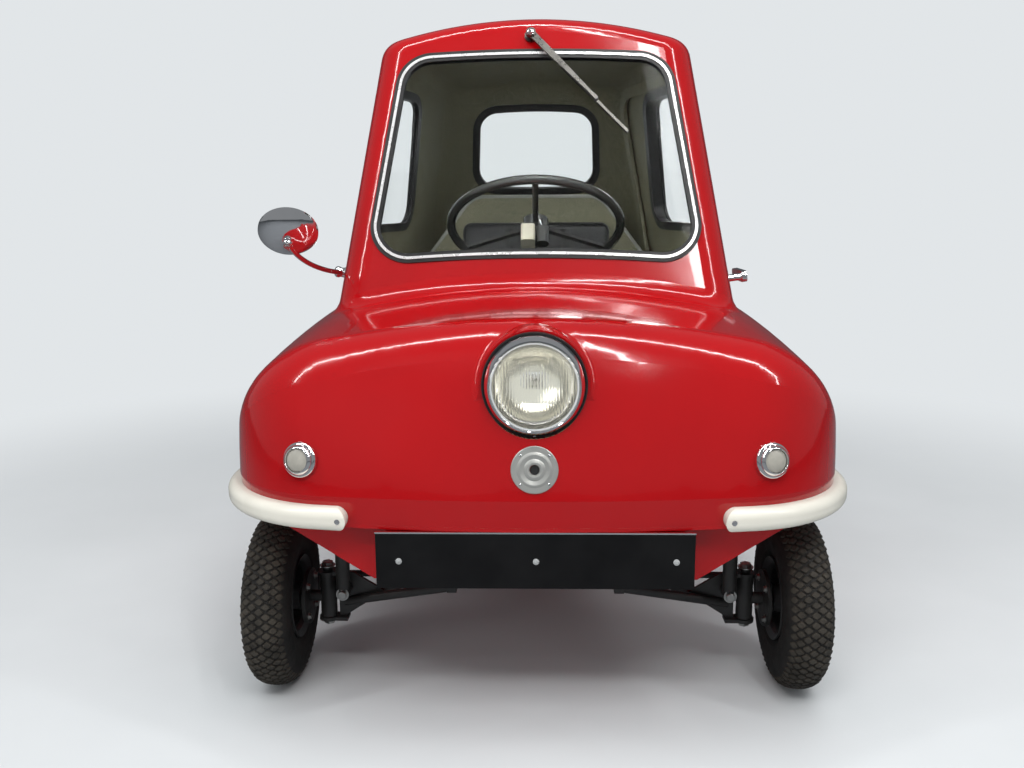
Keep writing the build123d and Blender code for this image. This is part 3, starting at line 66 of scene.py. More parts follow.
def add_object(name, data):
    """A new object in the scene."""
    item = bpy.data.objects.new(name, data)
    bpy.context.scene.collection.objects.link(item)
    return item


def new_material(name, settings):
    """A material, with settings for the sockets of its Principled shader, and its node tree."""
    material = bpy.data.materials.new(name)
    material.use_nodes = True
    for label, value in settings.items():
        material.node_tree.nodes["Principled BSDF"].inputs[label].default_value = value
    return material, material.node_tree


def add_node(tree, kind, inputs, operation=None):
    """A shader node. Each of its inputs gets a value, or the socket that leads to it."""
    node = tree.nodes.new(kind)
    if operation:
        node.operation = operation
    for label, source in inputs.items():
        if isinstance(source, bpy.types.NodeSocket):
            tree.links.new(source, node.inputs[label])
        else:
            node.inputs[label].default_value = source
    return node


def add_noise(tree, scale, detail=4.0, roughness=0.6):
    """Noise in object space, so it stays on the piece when the piece moves."""
    place = tree.nodes.new("ShaderNodeTexCoord")
    inputs = {"Vector": place.outputs["Object"], "Scale": scale, "Detail": detail, "Roughness": roughness}
    return add_node(tree, "ShaderNodeTexNoise", inputs).outputs["Fac"]


def two_tone(tree, factor, low, high, start=0.3, end=0.7):
    """Makes two colours, blended by a factor between start and end, the base colour."""
    ramp = add_node(tree, "ShaderNodeValToRGB", {"Fac": factor})
    first, last = ramp.color_ramp.elements
    first.position, first.color = start, (*low, 1.0)
    last.position, last.color = end, (*high, 1.0)
    tree.links.new(ramp.outputs["Color"], tree.nodes["Principled BSDF"].inputs["Base Color"])


floor_profile = [(-FLOOR_REACH, 0.0), (SWEEP_START, 0.0)]
for step in range(1, SWEEP_STEPS + 1):
    turn = math.radians(90.0) * step / SWEEP_STEPS
    sweep_y = SWEEP_START + SWEEP_RADIUS * math.sin(turn)
    floor_profile.append((sweep_y, SWEEP_RADIUS * (1.0 - math.cos(turn))))
floor_profile.append((SWEEP_START + SWEEP_RADIUS, BACKDROP_HEIGHT))
floor_points = []
for y, z in floor_profile:
    floor_points += [(-FLOOR_REACH, y, z), (FLOOR_REACH, y, z)]
floor_faces = [(2 * i, 2 * i + 1, 2 * i + 3, 2 * i + 2) for i in range(len(floor_profile) - 1)]
floor_mesh = bpy.data.meshes.new("studio_floor")
floor_mesh.from_pydata(floor_points, [], floor_faces)
for face in floor_mesh.polygons:
    face.use_smooth = True
studio_floor = add_object("studio_floor", floor_mesh)

floor_paint, tree = new_material("pale_floor_paint", {"Roughness": 0.5, "Specular IOR Level": 0.3})
two_tone(tree, add_noise(tree, 1.2), FLOOR_GREY, FLOOR_PALE)
place = tree.nodes.new("ShaderNodeTexCoord").outputs
ray = tree.nodes.new("ShaderNodeLightPath").outputs
reach = add_node(tree, "ShaderNodeVectorMath", {0: place["Object"]}, "LENGTH").outputs["Value"]
inputs = {"Value": reach, "From Min": WHITE_FROM, "From Max": WHITE_FULL}
far = add_node(tree, "ShaderNodeMapRange", inputs)
far.interpolation_type = "SMOOTHSTEP"
inputs = {0: ray["Is Camera Ray"], 1: ray["Is Transmission Ray"]}
seen = add_node(tree, "ShaderNodeMath", inputs, "MAXIMUM").outputs["Value"]
share = add_node(tree, "ShaderNodeMath", {0: far.outputs["Result"], 1: seen}, "MULTIPLY").outputs["Value"]
plain_white = add_node(tree, "ShaderNodeEmission", {"Color": BACKDROP_WHITE, "Strength": 1.0})
dull_floor = add_node(tree, "ShaderNodeBsdfDiffuse", {"Color": FLOOR_IN_GLOSS})
painted = tree.nodes["Principled BSDF"].outputs["BSDF"]
inputs = {0: ray["Is Glossy Ray"], 1: painted, 2: dull_floor.outputs["BSDF"]}
in_gloss = add_node(tree, "ShaderNodeMixShader", inputs)
inputs = {0: share, 1: in_gloss.outputs["Shader"], 2: plain_white.outputs["Emission"]}
blend = add_node(tree, "ShaderNodeMixShader", inputs)
tree.links.new(blend.outputs["Shader"], tree.nodes["Material Output"].inputs["Surface"])
floor_mesh.materials.append(floor_paint)

# name, place, aim, width, length, watts, whether gloss mirrors it
SOFT_LAMPS = [
    ("lamp_over_left", (1.25, -0.9, 2.7), (0.35, -0.3, 0.6), 0.09, 3.6, 30.0, True),
    ("lamp_over_right", (-1.25, -0.9, 2.7), (-0.35, -0.3, 0.6), 0.09, 3.6, 30.0, True),
    ("lamp_over_middle", (0.5, -1.7, 2.9), (0.0, -0.3, 0.6), 0.08, 2.4, 22.0, True),
    ("lamp_over_front", (-0.3, -2.6, 2.5), (0.0, -0.5, 0.5), 2.6, 0.10, 20.0, False),
    ("lamp_over_nose", (0.0, -3.0, 3.6), (0.0, -0.5, 0.5), 3.4, 1.4, 66.0, False),
    ("lamp_front_fill", (-2.6, -4.2, 1.9), (0.0, 0.0, 0.5), 2.4, 2.0, 38.0, False),
    ("lamp_back_rim", (1.5, 3.6, 2.6), (0.0, 0.2, 0.7), 3.0, 1.0, 55.0, False),
]
for name, place, aim, width, length, watts, mirrored in SOFT_LAMPS:
    lamp = bpy.data.lights.new(name, "AREA")
    lamp.shape = "RECTANGLE"
    lamp.size = width
    lamp.size_y = length
    lamp.energy = watts
    holder = add_object(name, lamp)
    holder.location = place
    holder.rotation_euler = (Vector(aim) - Vector(place)).to_track_quat("-Z", "Y").to_euler()
    holder.visible_glossy = mirrored

world = bpy.data.worlds.new("studio_air")
bpy.context.scene.world = world
world.use_nodes = True
tree = world.node_tree
ray = tree.nodes.new("ShaderNodeLightPath").outputs
inputs = {"Value": ray["Is Glossy Ray"], "To Min": AIR_LIGHT, "To Max": AIR_IN_GLOSS}
light = add_node(tree, "ShaderNodeMapRange", inputs).outputs["Result"]
inputs = {0: ray["Is Camera Ray"], 1: ray["Is Transmission Ray"]}
in_view = add_node(tree, "ShaderNodeMath", inputs, "MAXIMUM").outputs["Value"]
shown = add_node(tree, "ShaderNodeMath", {0: in_view, 1: AIR_IN_VIEW}, "MULTIPLY").outputs["Value"]
strength = add_node(tree, "ShaderNodeMath", {0: light, 1: shown}, "MAXIMUM").outputs["Value"]
background = tree.nodes["Background"]
background.inputs["Color"].default_value = AIR_COLOUR
tree.links.new(strength, background.inputs["Strength"])

# The camera stands where the photograph was taken from: low in front of the nose, a little to
# the car's left of its middle, and looking down.
LENS_PIXELS = 947.0
FRAME_PIXELS = 1024.0
SENSOR = 36.0
CAMERA_PLACE = (0.006, -1.996, 0.818)
CAMERA_DOWN = 10.75
CAMERA_SWING = 1.64
CAMERA_ROLL = -0.35
eye = bpy.data.cameras.new("eye")
eye.sensor_width = SENSOR
eye.lens = SENSOR * LENS_PIXELS / FRAME_PIXELS
eye_holder = add_object("eye", eye)
aim = Matrix.Rotation(math.radians(CAMERA_SWING), 4, "Z")
aim = aim @ Matrix.Rotation(math.radians(90.0 - CAMERA_DOWN), 4, "X")
aim = aim @ Matrix.Rotation(math.radians(CAMERA_ROLL), 4, "Z")
eye_holder.matrix_world = Matrix.Translation(CAMERA_PLACE) @ aim
bpy.context.scene.camera = eye_holder
bpy.context.scene.view_settings.view_transform = "Standard"

# The body moulding, floor moulding and door: glass fibre with a glossy red gel coat outside
# and a grey green speckled coat inside. They are laid up in moulds, so the skin is a little
# wavy, and polish leaves its gloss slightly uneven.
GEL_RED = (0.35, 0.0018, 0.0035)
GEL_DEEP = (0.30, 0.0014, 0.003)
INNER_COAT = (0.165, 0.160, 0.088)
INNER_FLECK = (0.36, 0.34, 0.23)
SHELL_MIDDLE = Vector((0.0, 0.05, 0.48))
BUMP_DISTANCE = 0.002


def effect_group(name, inputs, output_kind):
    """A shader node group: inputs are its floats with their defaults, and it has one output."""
    group = bpy.data.node_groups.new(name, "ShaderNodeTree")
    for label, value in inputs.items():
        socket = group.interface.new_socket(label, in_out="INPUT", socket_type="NodeSocketFloat")
        socket.default_value = value
    group.interface.new_socket("Result", in_out="OUTPUT", socket_type=output_kind)
    given = group.nodes.new("NodeGroupInput").outputs
    return group, given, group.nodes.new("NodeGroupOutput").inputs


def build_uneven_gloss():
    """Roughness that drifts between a low and a high value, as wiping and polish leave it."""
    inputs = {"Scale": 6.0, "Low": 0.1, "High": 0.2}
    group, given, result = effect_group("uneven_gloss", inputs, "NodeSocketFloat")
    noise = add_noise(group, given["Scale"], 5.0)
    spread = add_node(group, "ShaderNodeMapRange", {
        "Value": noise, "From Min": 0.3, "From Max": 0.7, "To Min": given["Low"], "To Max": given["High"]
    })
    group.links.new(spread.outputs["Result"], result["Result"])
    return group


def build_ripple():
    """A normal that wavers over the surface: a wavy skin, a cast skin or a fine grain."""
    group, given, result = effect_group("ripple", {"Scale": 6.0, "Depth": 0.05}, "NodeSocketVector")
    noise = add_noise(group, given["Scale"], 3.0)
    inputs = {"Distance": BUMP_DISTANCE, "Strength": given["Depth"], "Height": noise}
    bump = add_node(group, "ShaderNodeBump", inputs)
    group.links.new(bump.outputs["Normal"], result["Result"])
    return group


uneven_gloss = build_uneven_gloss()
ripple = build_ripple()


def use_group(tree, group, target, **values):
    """Places an effect group in a material and leads its result to a socket of the shader."""
    node = tree.nodes.new("ShaderNodeGroup")
    node.node_tree = group
    for label, value in values.items():
        node.inputs[label].default_value = value
    tree.links.new(node.outputs["Result"], tree.nodes["Principled BSDF"].inputs[target])


def set_gloss(tree, scale, low, high):
    """Gives a material uneven gloss, between a low and a high roughness."""
    use_group(tree, uneven_gloss, "Roughness", Scale=scale, Low=low, High=high)


def finish_material(name, low, high, gloss, grain, tone=12.0, metal=0.0, settings=None):
    """A material of two close tones with gloss (scale, low, high) and grain (scale, depth)."""
    material, tree = new_material(name, {"Metallic": metal, **(settings or {})})
    two_tone(tree, add_noise(tree, tone), low, high)
    set_gloss(tree, *gloss)
    use_group(tree, ripple, "Normal", Scale=grain[0], Depth=grain[1])
    return material


def dress(names, material):
    """Gives CAD nodes one material."""
    for name in names:
        nodes[name].data.materials.clear()
        nodes[name].data.materials.append(material)


gel_coat = finish_material(
    "red_gel_coat", GEL_RED, GEL_DEEP, (9.0, 0.1, 0.17), (6.0, 0.3), tone=2.5,
    settings={"Specular IOR Level": 0.38, "Coat Weight": 0.45, "Coat Roughness": 0.02}
)
inner_coat, tree = new_material("speckled_inner_coat", {})
two_tone(tree, add_noise(tree, 420.0, 2.0), INNER_COAT, INNER_FLECK, 0.45, 0.62)
set_gloss(tree, 20.0, 0.5, 0.7)
use_group(tree, ripple, "Normal", Scale=260.0, Depth=0.5)
OUTER_SKINS = ["body_shell", "floor_pan", "door_panel"]
dress(OUTER_SKINS, gel_coat)
for name in OUTER_SKINS:
    mesh = nodes[name].data
    mesh.materials.append(inner_coat)
    for face in mesh.polygons:
        faces_in = face.normal.dot(face.center - SHELL_MIDDLE) < 0.0
        face.material_index = 1 if faces_in else 0

# Windows: clear sheet held in black rubber seals, which are pushed over the edges of the
# openings, with a satin bright strip pressed into the windscreen's seal. The sheet is thin, so
# it hardly bends what is seen through it.


def clear_material(name, colour, clear, bend, gloss):
    """A glass or clear plastic: clear is how much light goes through, bend its index."""
    settings = {"Base Color": (*colour, 1.0), "Transmission Weight": clear, "IOR": bend}
    material, tree = new_material(name, settings)
    set_gloss(tree, *gloss)
    return material


clear_pane = clear_material("clear_pane", (0.97, 0.985, 0.98), 1.0, 1.08, (3.0, 0.0, 0.012))
dress(["windscreen_glass", "rear_glass", "side_glass", "door_glass"], clear_pane)
seal_rubber = finish_material(
    "black_seal_rubber", (0.010, 0.010, 0.010), (0.018, 0.018, 0.018), (30.0, 0.32, 0.5), (160.0, 0.25)
)
dress(["windscreen_rubber", "rear_rubber", "side_rubber", "door_rubber", "headlamp_gasket"], seal_rubber)
chrome = finish_material(
    "bright_chrome", (0.80, 0.80, 0.81), (0.86, 0.86, 0.87), (40.0, 0.03, 0.1), (25.0, 0.05), metal=1.0
)
dress(["headlamp_body", "side_lamp_rims", "tail_lamp_rims", "door_handle", "rear_handle", "mirror"], chrome)
bright_strip = finish_material(
    "bright_trim_strip", (0.82, 0.82, 0.81), (0.90, 0.90, 0.89), (40.0, 0.22, 0.34), (60.0, 0.06), metal=0.6
)
dress(["windscreen_trim"], bright_strip)

# The headlamp: a chrome bezel round a silvered bowl, on a rubber gasket, closed by a moulded
# glass with upright flutes and a cross rib, and a bulb in a bright cap. The glass sits in the
# bezel, and a screw under the bezel holds the lamp together.
LAMP_CENTRE = (0.0, -0.678, 0.562)
LENS_RADIUS = 0.0637
LENS_DOME = 0.009
LENS_EDGE = -0.003
LENS_THICK = 0.0032
FLUTE_PITCH = 0.0040
FLUTE_DEEP = 0.0007
CROSS_RIB_Y = 0.038
CROSS_RIB_HALF = 0.0012
COLUMNS = 216
ROWS = 30
BOWL_RADIUS = LENS_RADIUS - 0.006
BOWL_TOP = LENS_EDGE - 0.005
FACES_OUT = 0.1
BEZEL_FOOT = (0.0, -0.663, 0.4885)
# radius and height of a screw's head
BEZEL_SCREW = (0.0032, 0.0022)
BULB = [(0.0, -0.030), (0.005, -0.0305), (0.0085, -0.034), (0.0095, -0.040), (0.0080, -0.048),
        (0.0060, -0.053), (0.0060, -0.056), (0.0, -0.056)]
BULB_CAP = [(0.0, -0.0555), (0.0105, -0.0555), (0.0105, -0.0575), (0.0135, -0.0580), (0.0135, -0.0605),
            (0.0, -0.0605)]


def place_along(origin, way, level=(0.0, 0.0, 1.0)):
    """A matrix at origin whose Z runs along way and whose X is level."""
    z_way = Vector(way).normalized()
    x_way = Vector(level).cross(z_way)
    if x_way.length < 1e-5:
        x_way = Vector((1.0, 0.0, 0.0))
    x_way.normalize()
    turn = Matrix((x_way, z_way.cross(x_way), z_way)).transposed().to_4x4()
    return Matrix.Translation(Vector(origin)) @ turn


def add_ring(form, place, points):
    """New points of a bmesh, written in the space of a matrix."""
    return [form.verts.new(place @ Vector(point)) for point in points]


def join_rings(form, rings):
    """Faces from each closed ring of points to the next, where a ring may be one point."""
    for low, high in zip(rings, rings[1:]):
        count = max(len(low), len(high))
        for step in range(count):
            i, j = step, (step + 1) % count
            corners = [low[i % len(low)], low[j % len(low)], high[j % len(high)], high[i % len(high)]]
            form.faces.new(list(dict.fromkeys(corners)))


def turn_profile(form, profile, place, count=48):
    """Adds a turned surface to a bmesh: (radius, height) pairs, where radius 0 closes an end."""
    rings = []
    for radius, height in profile:
        steps = count if radius > 1e-6 else 1
        turns = [2.0 * math.pi * (step + 0.5) / steps for step in range(steps)]
        points = [(radius * math.cos(turn), radius * math.sin(turn), height) for turn in turns]
        rings.append(add_ring(form, place, points))
    join_rings(form, rings)


def add_piece(name, form, material, body, sharp=35.0):
    """Turns a bmesh into a smooth piece with one material that rides on a body of the frame."""
    bmesh.ops.recalc_face_normals(form, faces=form.faces)
    mesh = bpy.data.meshes.new(name)
    form.to_mesh(mesh)
    form.free()
    mesh.materials.append(material)
    for face in mesh.polygons:
        face.use_smooth = True
    mesh.set_sharp_from_angle(angle=math.radians(sharp))
    piece = add_object(name, mesh)
    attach(piece, body)
    return piece


def slotted_head(form, place, radius, height):
    """A domed screw head: two halves with the driver's slot between them, on a thin disc."""
    slot_half = radius * 0.13
    turn_profile(form, [(0.0, 0.0), (radius, 0.0), (radius, height * 0.3), (0.0, height * 0.3)], place, 20)
    for side in (-1, 1):
        levels = []
        for share, level in ((1.0, 0.3), (0.97, 0.55), (0.72, 0.9), (0.4, 1.0)):
            reach = radius * share
            start = math.asin(min(1.0, slot_half / reach))
            turns = [start + (math.pi - 2.0 * start) * step / 8 for step in range(9)]
            arc = [(reach * math.cos(turn), side * reach * math.sin(turn)) for turn in turns]
            levels.append(add_ring(form, place, [(x, y, height * level) for x, y in arc]))
        join_rings(form, levels)
        form.faces.new(levels[-1])
        form.faces.new(levels[0])


def lens_back(x, y):
    """How far the back of the glass stands proud at a point: flutes, and a rib across them."""
    if abs(y - CROSS_RIB_Y) < CROSS_RIB_HALF:
        return FLUTE_DEEP * 1.6
    if y > CROSS_RIB_Y:
        return abs(math.sin(2.0 * math.pi * x / FLUTE_PITCH)) * FLUTE_DEEP * 0.6
    return abs(math.sin(math.pi * x / FLUTE_PITCH)) * FLUTE_DEEP


lamp_place = place_along(LAMP_CENTRE, (0.0, -1.0, 0.0))
form = bmesh.new()
rims = []
for behind in (False, True):
    columns = []
    for i in range(COLUMNS + 1):
        x = LENS_RADIUS * (2.0 * i / COLUMNS - 1.0) * 0.9999
        chord = math.sqrt(LENS_RADIUS**2 - x * x)
        column = []
        for j in range(ROWS + 1):
            y = chord * (2.0 * j / ROWS - 1.0)
            dome = LENS_EDGE + LENS_DOME * (1.0 - (x * x + y * y) / LENS_RADIUS**2)
            column.append((x, y, dome - LENS_THICK - lens_back(x, y) if behind else dome))
        columns.append(add_ring(form, lamp_place, column))
    for left, right in zip(columns, columns[1:]):
        for j in range(ROWS):
            form.faces.new((left[j], right[j], right[j + 1], left[j + 1]))
    rim = [column[0] for column in columns] + columns[-1][1:ROWS]
    rims.append(rim + [column[-1] for column in reversed(columns)] + columns[0][ROWS - 1:0:-1])
join_rings(form, rims)
lamp_glass = clear_material("fluted_lamp_glass", (0.985, 0.98, 0.95), 1.0, 1.42, (8.0, 0.0, 0.04))
lens = add_piece("headlamp_glass", form, lamp_glass, "car_body", 60.0)
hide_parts("headlamp_lens")

silvering = finish_material(
    "bowl_silvering", (0.93, 0.91, 0.81), (0.98, 0.96, 0.88), (14.0, 0.10, 0.20), (60.0, 0.2), metal=0.8
)
lamp_mesh = nodes["headlamp_body"].data
lamp_mesh.materials.append(silvering)
into_lamp = lamp_place.inverted()
for face in lamp_mesh.polygons:
    spot = into_lamp @ face.center
    in_bowl = math.hypot(spot.x, spot.y) < BOWL_RADIUS and spot.z < BOWL_TOP
    if in_bowl and face.normal.y < FACES_OUT:
        face.material_index = 1

form = bmesh.new()
turn_profile(form, BULB, lamp_place, 32)
bulb_glass = clear_material("bulb_glass", (0.96, 0.93, 0.82), 0.75, 1.4, (50.0, 0.05, 0.2))
add_piece("headlamp_bulb", form, bulb_glass, "car_body")
form = bmesh.new()
turn_profile(form, BULB_CAP, lamp_place, 32)
slotted_head(form, place_along(BEZEL_FOOT, (0.0, 0.0, -1.0), (1.0, 0.0, 0.0)), *BEZEL_SCREW)
add_piece("headlamp_cap_and_screw", form, chrome, "car_body")

# Side and tail lamps: small round lamps with a turned chrome rim on the skin. The front ones
# have tall chrome hoods and greyish frosted glasses, the rear ones red plastic, and all their
# glasses have faint rings moulded in them.
SIDE_LENS_RADIUS = 0.0168
TAIL_LENS_RADIUS = 0.0177
LENS_RISE = 0.0044
LENS_SEAT = 0.006
LENS_STEPS = 20
RING_RISE = 0.00025
HOOD = [(0.0212, -0.0040), (0.0226, 0.0012), (0.0222, 0.0022), (0.0196, 0.0054), (0.0189, 0.0062),
        (0.0180, 0.0064), (0.0174, 0.0056), (0.0173, 0.0), (0.0173, -0.0040)]


def disc_place(name, side=0):
    """Where a round CAD piece stands: a matrix at its middle with Z along its axis, outwards."""
    points = np.array([vertex.co[:] for vertex in nodes[name].data.vertices])
    if side:
        points = points[points[:, 0] * side > 0.0]
    middle = points.mean(axis=0)
    axis = Vector(np.linalg.svd(points - middle)[2][2])
    if axis.dot(Vector(middle) - SHELL_MIDDLE) < 0.0:
        axis.negate()
    return place_along(middle, axis)


def ringed_lens(form, place, radius, low, high):
    """A domed lamp glass whose face carries faint moulded rings."""
    profile = [(0.0, low), (radius, low), (radius, high)]
    for step in range(1, LENS_STEPS):
        share = 1.0 - step / LENS_STEPS
        dome = high + LENS_RISE * (1.0 - share * share)
        profile.append((radius * share, dome + RING_RISE * (step % 2)))
    profile.append((0.0, high + LENS_RISE))
    turn_profile(form, profile, place, 56)


def lens_material(name, low, high, clear, rough):
    """A lamp plastic of two close tones: clear is how much light goes through."""
    material, tree = new_material(name, {"Transmission Weight": clear, "IOR": 1.4})
    two_tone(tree, add_noise(tree, 60.0), low, high)
    set_gloss(tree, 20.0, rough, rough + 0.1)
    return material


frosted_glass = lens_material("frosted_lamp_glass", (0.33, 0.32, 0.28), (0.43, 0.41, 0.36), 0.2, 0.25)
red_plastic = lens_material("red_lamp_plastic", (0.42, 0.006, 0.006), (0.52, 0.010, 0.008), 0.35, 0.12)
# CAD node, new piece, radius, how far the glass stands out, material, slot
ROUND_LAMPS = [
    ("side_lamp_lenses", "side_lamp_glasses", SIDE_LENS_RADIUS, 0.0030, frosted_glass, "lamp_glass"),
    ("tail_lamp_lenses", "tail_lamp_glasses", TAIL_LENS_RADIUS, 0.0, red_plastic, "red_lens"),
]
for node, name, radius, out, material, slot in ROUND_LAMPS:
    form = bmesh.new()
    for side in (-1, 1):
        ringed_lens(form, disc_place(node, side), radius, out - LENS_SEAT, out)
    glasses = add_piece(name, form, material, "car_body", 80.0)
    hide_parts(node)
form = bmesh.new()
for side in (-1, 1):
    turn_profile(form, HOOD, disc_place("side_lamp_lenses", side), 64)
add_piece("side_lamp_hoods", form, chrome, "car_body", 60.0)

# The nose disc: a turned light alloy disc with raised rings, held by four small rivets through its
# flange. Its mouth is a shallow near black dish in its middle: painted shade where the opening is dark.
RIVET_CIRCLE = 0.0295
RIVET = [(0.0019, 0.0), (0.00171, 0.0008), (0.00095, 0.00144), (0.0, 0.0016)]
MOUTH = [(0.0068, 0.0002), (0.0060, -0.0006), (0.0, -0.0008)]


def four_round(radius, height):
    """Four spots at one height on a circle, halfway between its axes."""
    turns = [math.radians(45.0 + 90.0 * step) for step in range(4)]
    return [Vector((radius * math.cos(turn), radius * math.sin(turn), height)) for turn in turns]


satin_alloy = finish_material(
    "satin_alloy", (0.56, 0.56, 0.55), (0.68, 0.68, 0.67), (60.0, 0.2, 0.36), (120.0, 0.12), metal=1.0
)
disc_alloy = finish_material(
    "disc_alloy", (0.50, 0.50, 0.47), (0.60, 0.60, 0.57), (60.0, 0.36, 0.5), (160.0, 0.1), metal=0.75
)
dress(["horn_disc"], disc_alloy)
horn_place = disc_place("horn_disc")
tops = [(horn_place.inverted() @ vertex.co) for vertex in nodes["horn_disc"].data.vertices]
flange_z = max(top.z for top in tops if math.hypot(top.x, top.y) > RIVET_CIRCLE)
form = bmesh.new()
for rivet in four_round(RIVET_CIRCLE, flange_z):
    turn_profile(form, RIVET, horn_place @ Matrix.Translation(rivet), 16)
add_piece("horn_disc_rivets", form, chrome, "car_body")
# A dish under a millimetre deep in near black: painted shade standing in for the dark inside the disc's
# opening.
form = bmesh.new()
turn_profile(form, MOUTH, horn_place @ Matrix.Translation((0.0, 0.0, flange_z)), 32)
mouth_painted_shade = finish_material(
    "painted_shade_opening", (0.010, 0.010, 0.010), (0.02, 0.02, 0.02), (60.0, 0.7, 0.9), (300.0, 0.4)
)
add_piece("horn_disc_mouth_painted_shade", form, mouth_painted_shade, "car_body")

# Bumpers: white gloss mouldings wrapped round the corners of the nose, each held by small
# screws near its ends.
BUMPER_SCREW = (0.0042, 0.0018)
# a point in front of each screw, and the way from there to it, on the car's left
SCREW_RAYS = [
    ((0.288, -1.0, 0.3645), (0.0, 1.0, 0.0)),
    ((1.0, -0.45, 0.3645), (-1.0, 0.0, 0.0)),
]
white_gloss = finish_material(
    "white_gloss_moulding", (0.60, 0.58, 0.51), (0.66, 0.64, 0.57), (15.0, 0.16, 0.28), (12.0, 0.2)
)
dress(["bumpers"], white_gloss)


def skin_spot(name, start, way):
    """Where a ray from start along way meets a CAD node: a matrix with Z out of its surface."""
    way = Vector(way).normalized()
    found, place, normal, face = nodes[name].ray_cast(Vector(start), way)
    if not found:
        raise ValueError(f"nothing of {name} lies along that ray")
    if normal.dot(way) > 0.0:
        normal.negate()
    return place_along(place, normal)


form = bmesh.new()
for (x, y, z), (way_x, way_y, way_z) in SCREW_RAYS:
    for side in (-1, 1):
        spot = skin_spot("bumpers", (side * x, y, z), (side * way_x, way_y, way_z))
        slotted_head(form, spot, *BUMPER_SCREW)
add_piece("bumper_screws", form, chrome, "car_body")

# Number plates: blank pressed plates painted black. The front one has a thin bright top edge
# and three pale caps over its screws. The rear one stands on the tail, on four screws.
PLATE_FACE_Y = -0.6811
PLATE_TOP_Z = 0.347
EDGE_HALF = 0.2344
EDGE_SECTION = [(-0.0006, -0.0016), (-0.0006, 0.0007), (0.0034, 0.0007), (0.0034, -0.0016)]
CAP_XS = (-0.200, 0.002, 0.207)
CAP_Z = 0.303
SCREW_CAP = [(0.0048, 0.0), (0.0046, 0.0012), (0.0034, 0.0022), (0.0, 0.0026)]
REAR_SCREW_XS = (-0.115, 0.115)
REAR_SCREW_ZS = (0.49, 0.63)
REAR_SCREW = (0.0045, 0.002)
plate_black = finish_material(
    "plate_black", (0.004, 0.004, 0.0045), (0.008, 0.008, 0.0085), (22.0, 0.4, 0.55), (80.0, 0.08),
    settings={"Specular IOR Level": 0.15}
)
dress(["front_plate", "rear_plate"], plate_black)
form = bmesh.new()
ends = []
for x in (-EDGE_HALF, EDGE_HALF):
    section = [(x, PLATE_FACE_Y + y, PLATE_TOP_Z + z) for y, z in EDGE_SECTION]
    ends.append(add_ring(form, Matrix(), section))
join_rings(form, ends)
form.faces.new(ends[0])
form.faces.new(ends[1])
add_piece("plate_bright_edge", form, chrome, "car_body")
form = bmesh.new()
for x in CAP_XS:
    turn_profile(form, SCREW_CAP, place_along((x, PLATE_FACE_Y, CAP_Z), (0.0, -1.0, 0.0)), 24)
cap_grey = finish_material(
    "pale_cap_plastic", (0.27, 0.28, 0.28), (0.34, 0.35, 0.35), (40.0, 0.3, 0.45), (150.0, 0.1)
)
add_piece("front_plate_caps", form, cap_grey, "car_body")
form = bmesh.new()
for x in REAR_SCREW_XS:
    for z in REAR_SCREW_ZS:
        slotted_head(form, skin_spot("rear_plate", (x, 1.0, z), (0.0, -1.0, 0.0)), *REAR_SCREW)
add_piece("rear_plate_screws", form, satin_alloy, "car_body")

# The door's hinges: cast alloy leaves on a pin, one on the body and one on the door, each held
# by two flat slotted screws.
HINGE_ZS = (0.578, 0.962)
HINGE_Y = 0.354
SCREW_FROM_PIN = 0.024
SCREW_APART = 0.011
HINGE_SCREW = (0.0035, 0.0009)
dress(["door_hinges", "hinge_leaves"], satin_alloy)
# side of the pin, CAD node, new piece, body
LEAVES = [
    (1, "hinge_leaves", "hinge_screws_body", "car_body"),
    (-1, "door_hinges", "hinge_screws_door", "door"),
]
for side, leaf, name, body in LEAVES:
    form = bmesh.new()
    for hinge_z in HINGE_ZS:
        for step in (-1, 1):
            start = (1.0, HINGE_Y + side * SCREW_FROM_PIN, hinge_z + step * SCREW_APART)
            slotted_head(form, skin_spot(leaf, start, (-1.0, 0.0, 0.0)), *HINGE_SCREW)
    add_piece(name, form, satin_alloy, body)

# The wiper: a pressed arm on a splined pivot with a cap nut, and a thin rubber blade. It parks
# across the top left of the windscreen, as the driver sees it.
PIVOT_X = -0.008
PIVOT_BELOW = 0.011
# across flats and height of a nut
PIVOT_NUT = (0.011, 0.0035)
PIVOT_DOME = [(0.0046, 0.0034), (0.0044, 0.0052), (0.0030, 0.0068), (0.0, 0.0074)]
wiper_metal = finish_material(
    "wiper_metal", (0.15, 0.145, 0.135), (0.24, 0.23, 0.21), (60.0, 0.24, 0.38), (60.0, 0.01), metal=1.0
)
dress(["wiper"], wiper_metal)
blade_rubber = finish_material(
    "blade_rubber", (0.012, 0.012, 0.012), (0.02, 0.02, 0.02), (60.0, 0.5, 0.7), (200.0, 0.2)
)
dress(["wiper_blade"], blade_rubber)


def hex_nut(form, place, across, height, washer=True):
    """A chamfered six sided nut or bolt head, usually on a thin round washer."""
    corner = across / math.sqrt(3.0)
    base = 0.0
    if washer:
        base = height * 0.2
        rim = corner * 1.35
        turn_profile(form, [(0.0, 0.0), (rim, 0.0), (rim, base), (0.0, base)], place, 24)
    profile = [(corner, base), (corner, height * 0.88), (corner * 0.86, height), (0.0, height)]
    turn_profile(form, profile, place, 6)


pivot_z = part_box("wiper")[1].z - PIVOT_BELOW
pivot = skin_spot("wiper", (PIVOT_X, -1.0, pivot_z), (0.0, 1.0, 0.0))
form = bmesh.new()
hex_nut(form, pivot, *PIVOT_NUT, washer=False)
turn_profile(form, PIVOT_DOME, pivot, 24)
add_piece("wiper_cap_nut", form, chrome, "car_body")

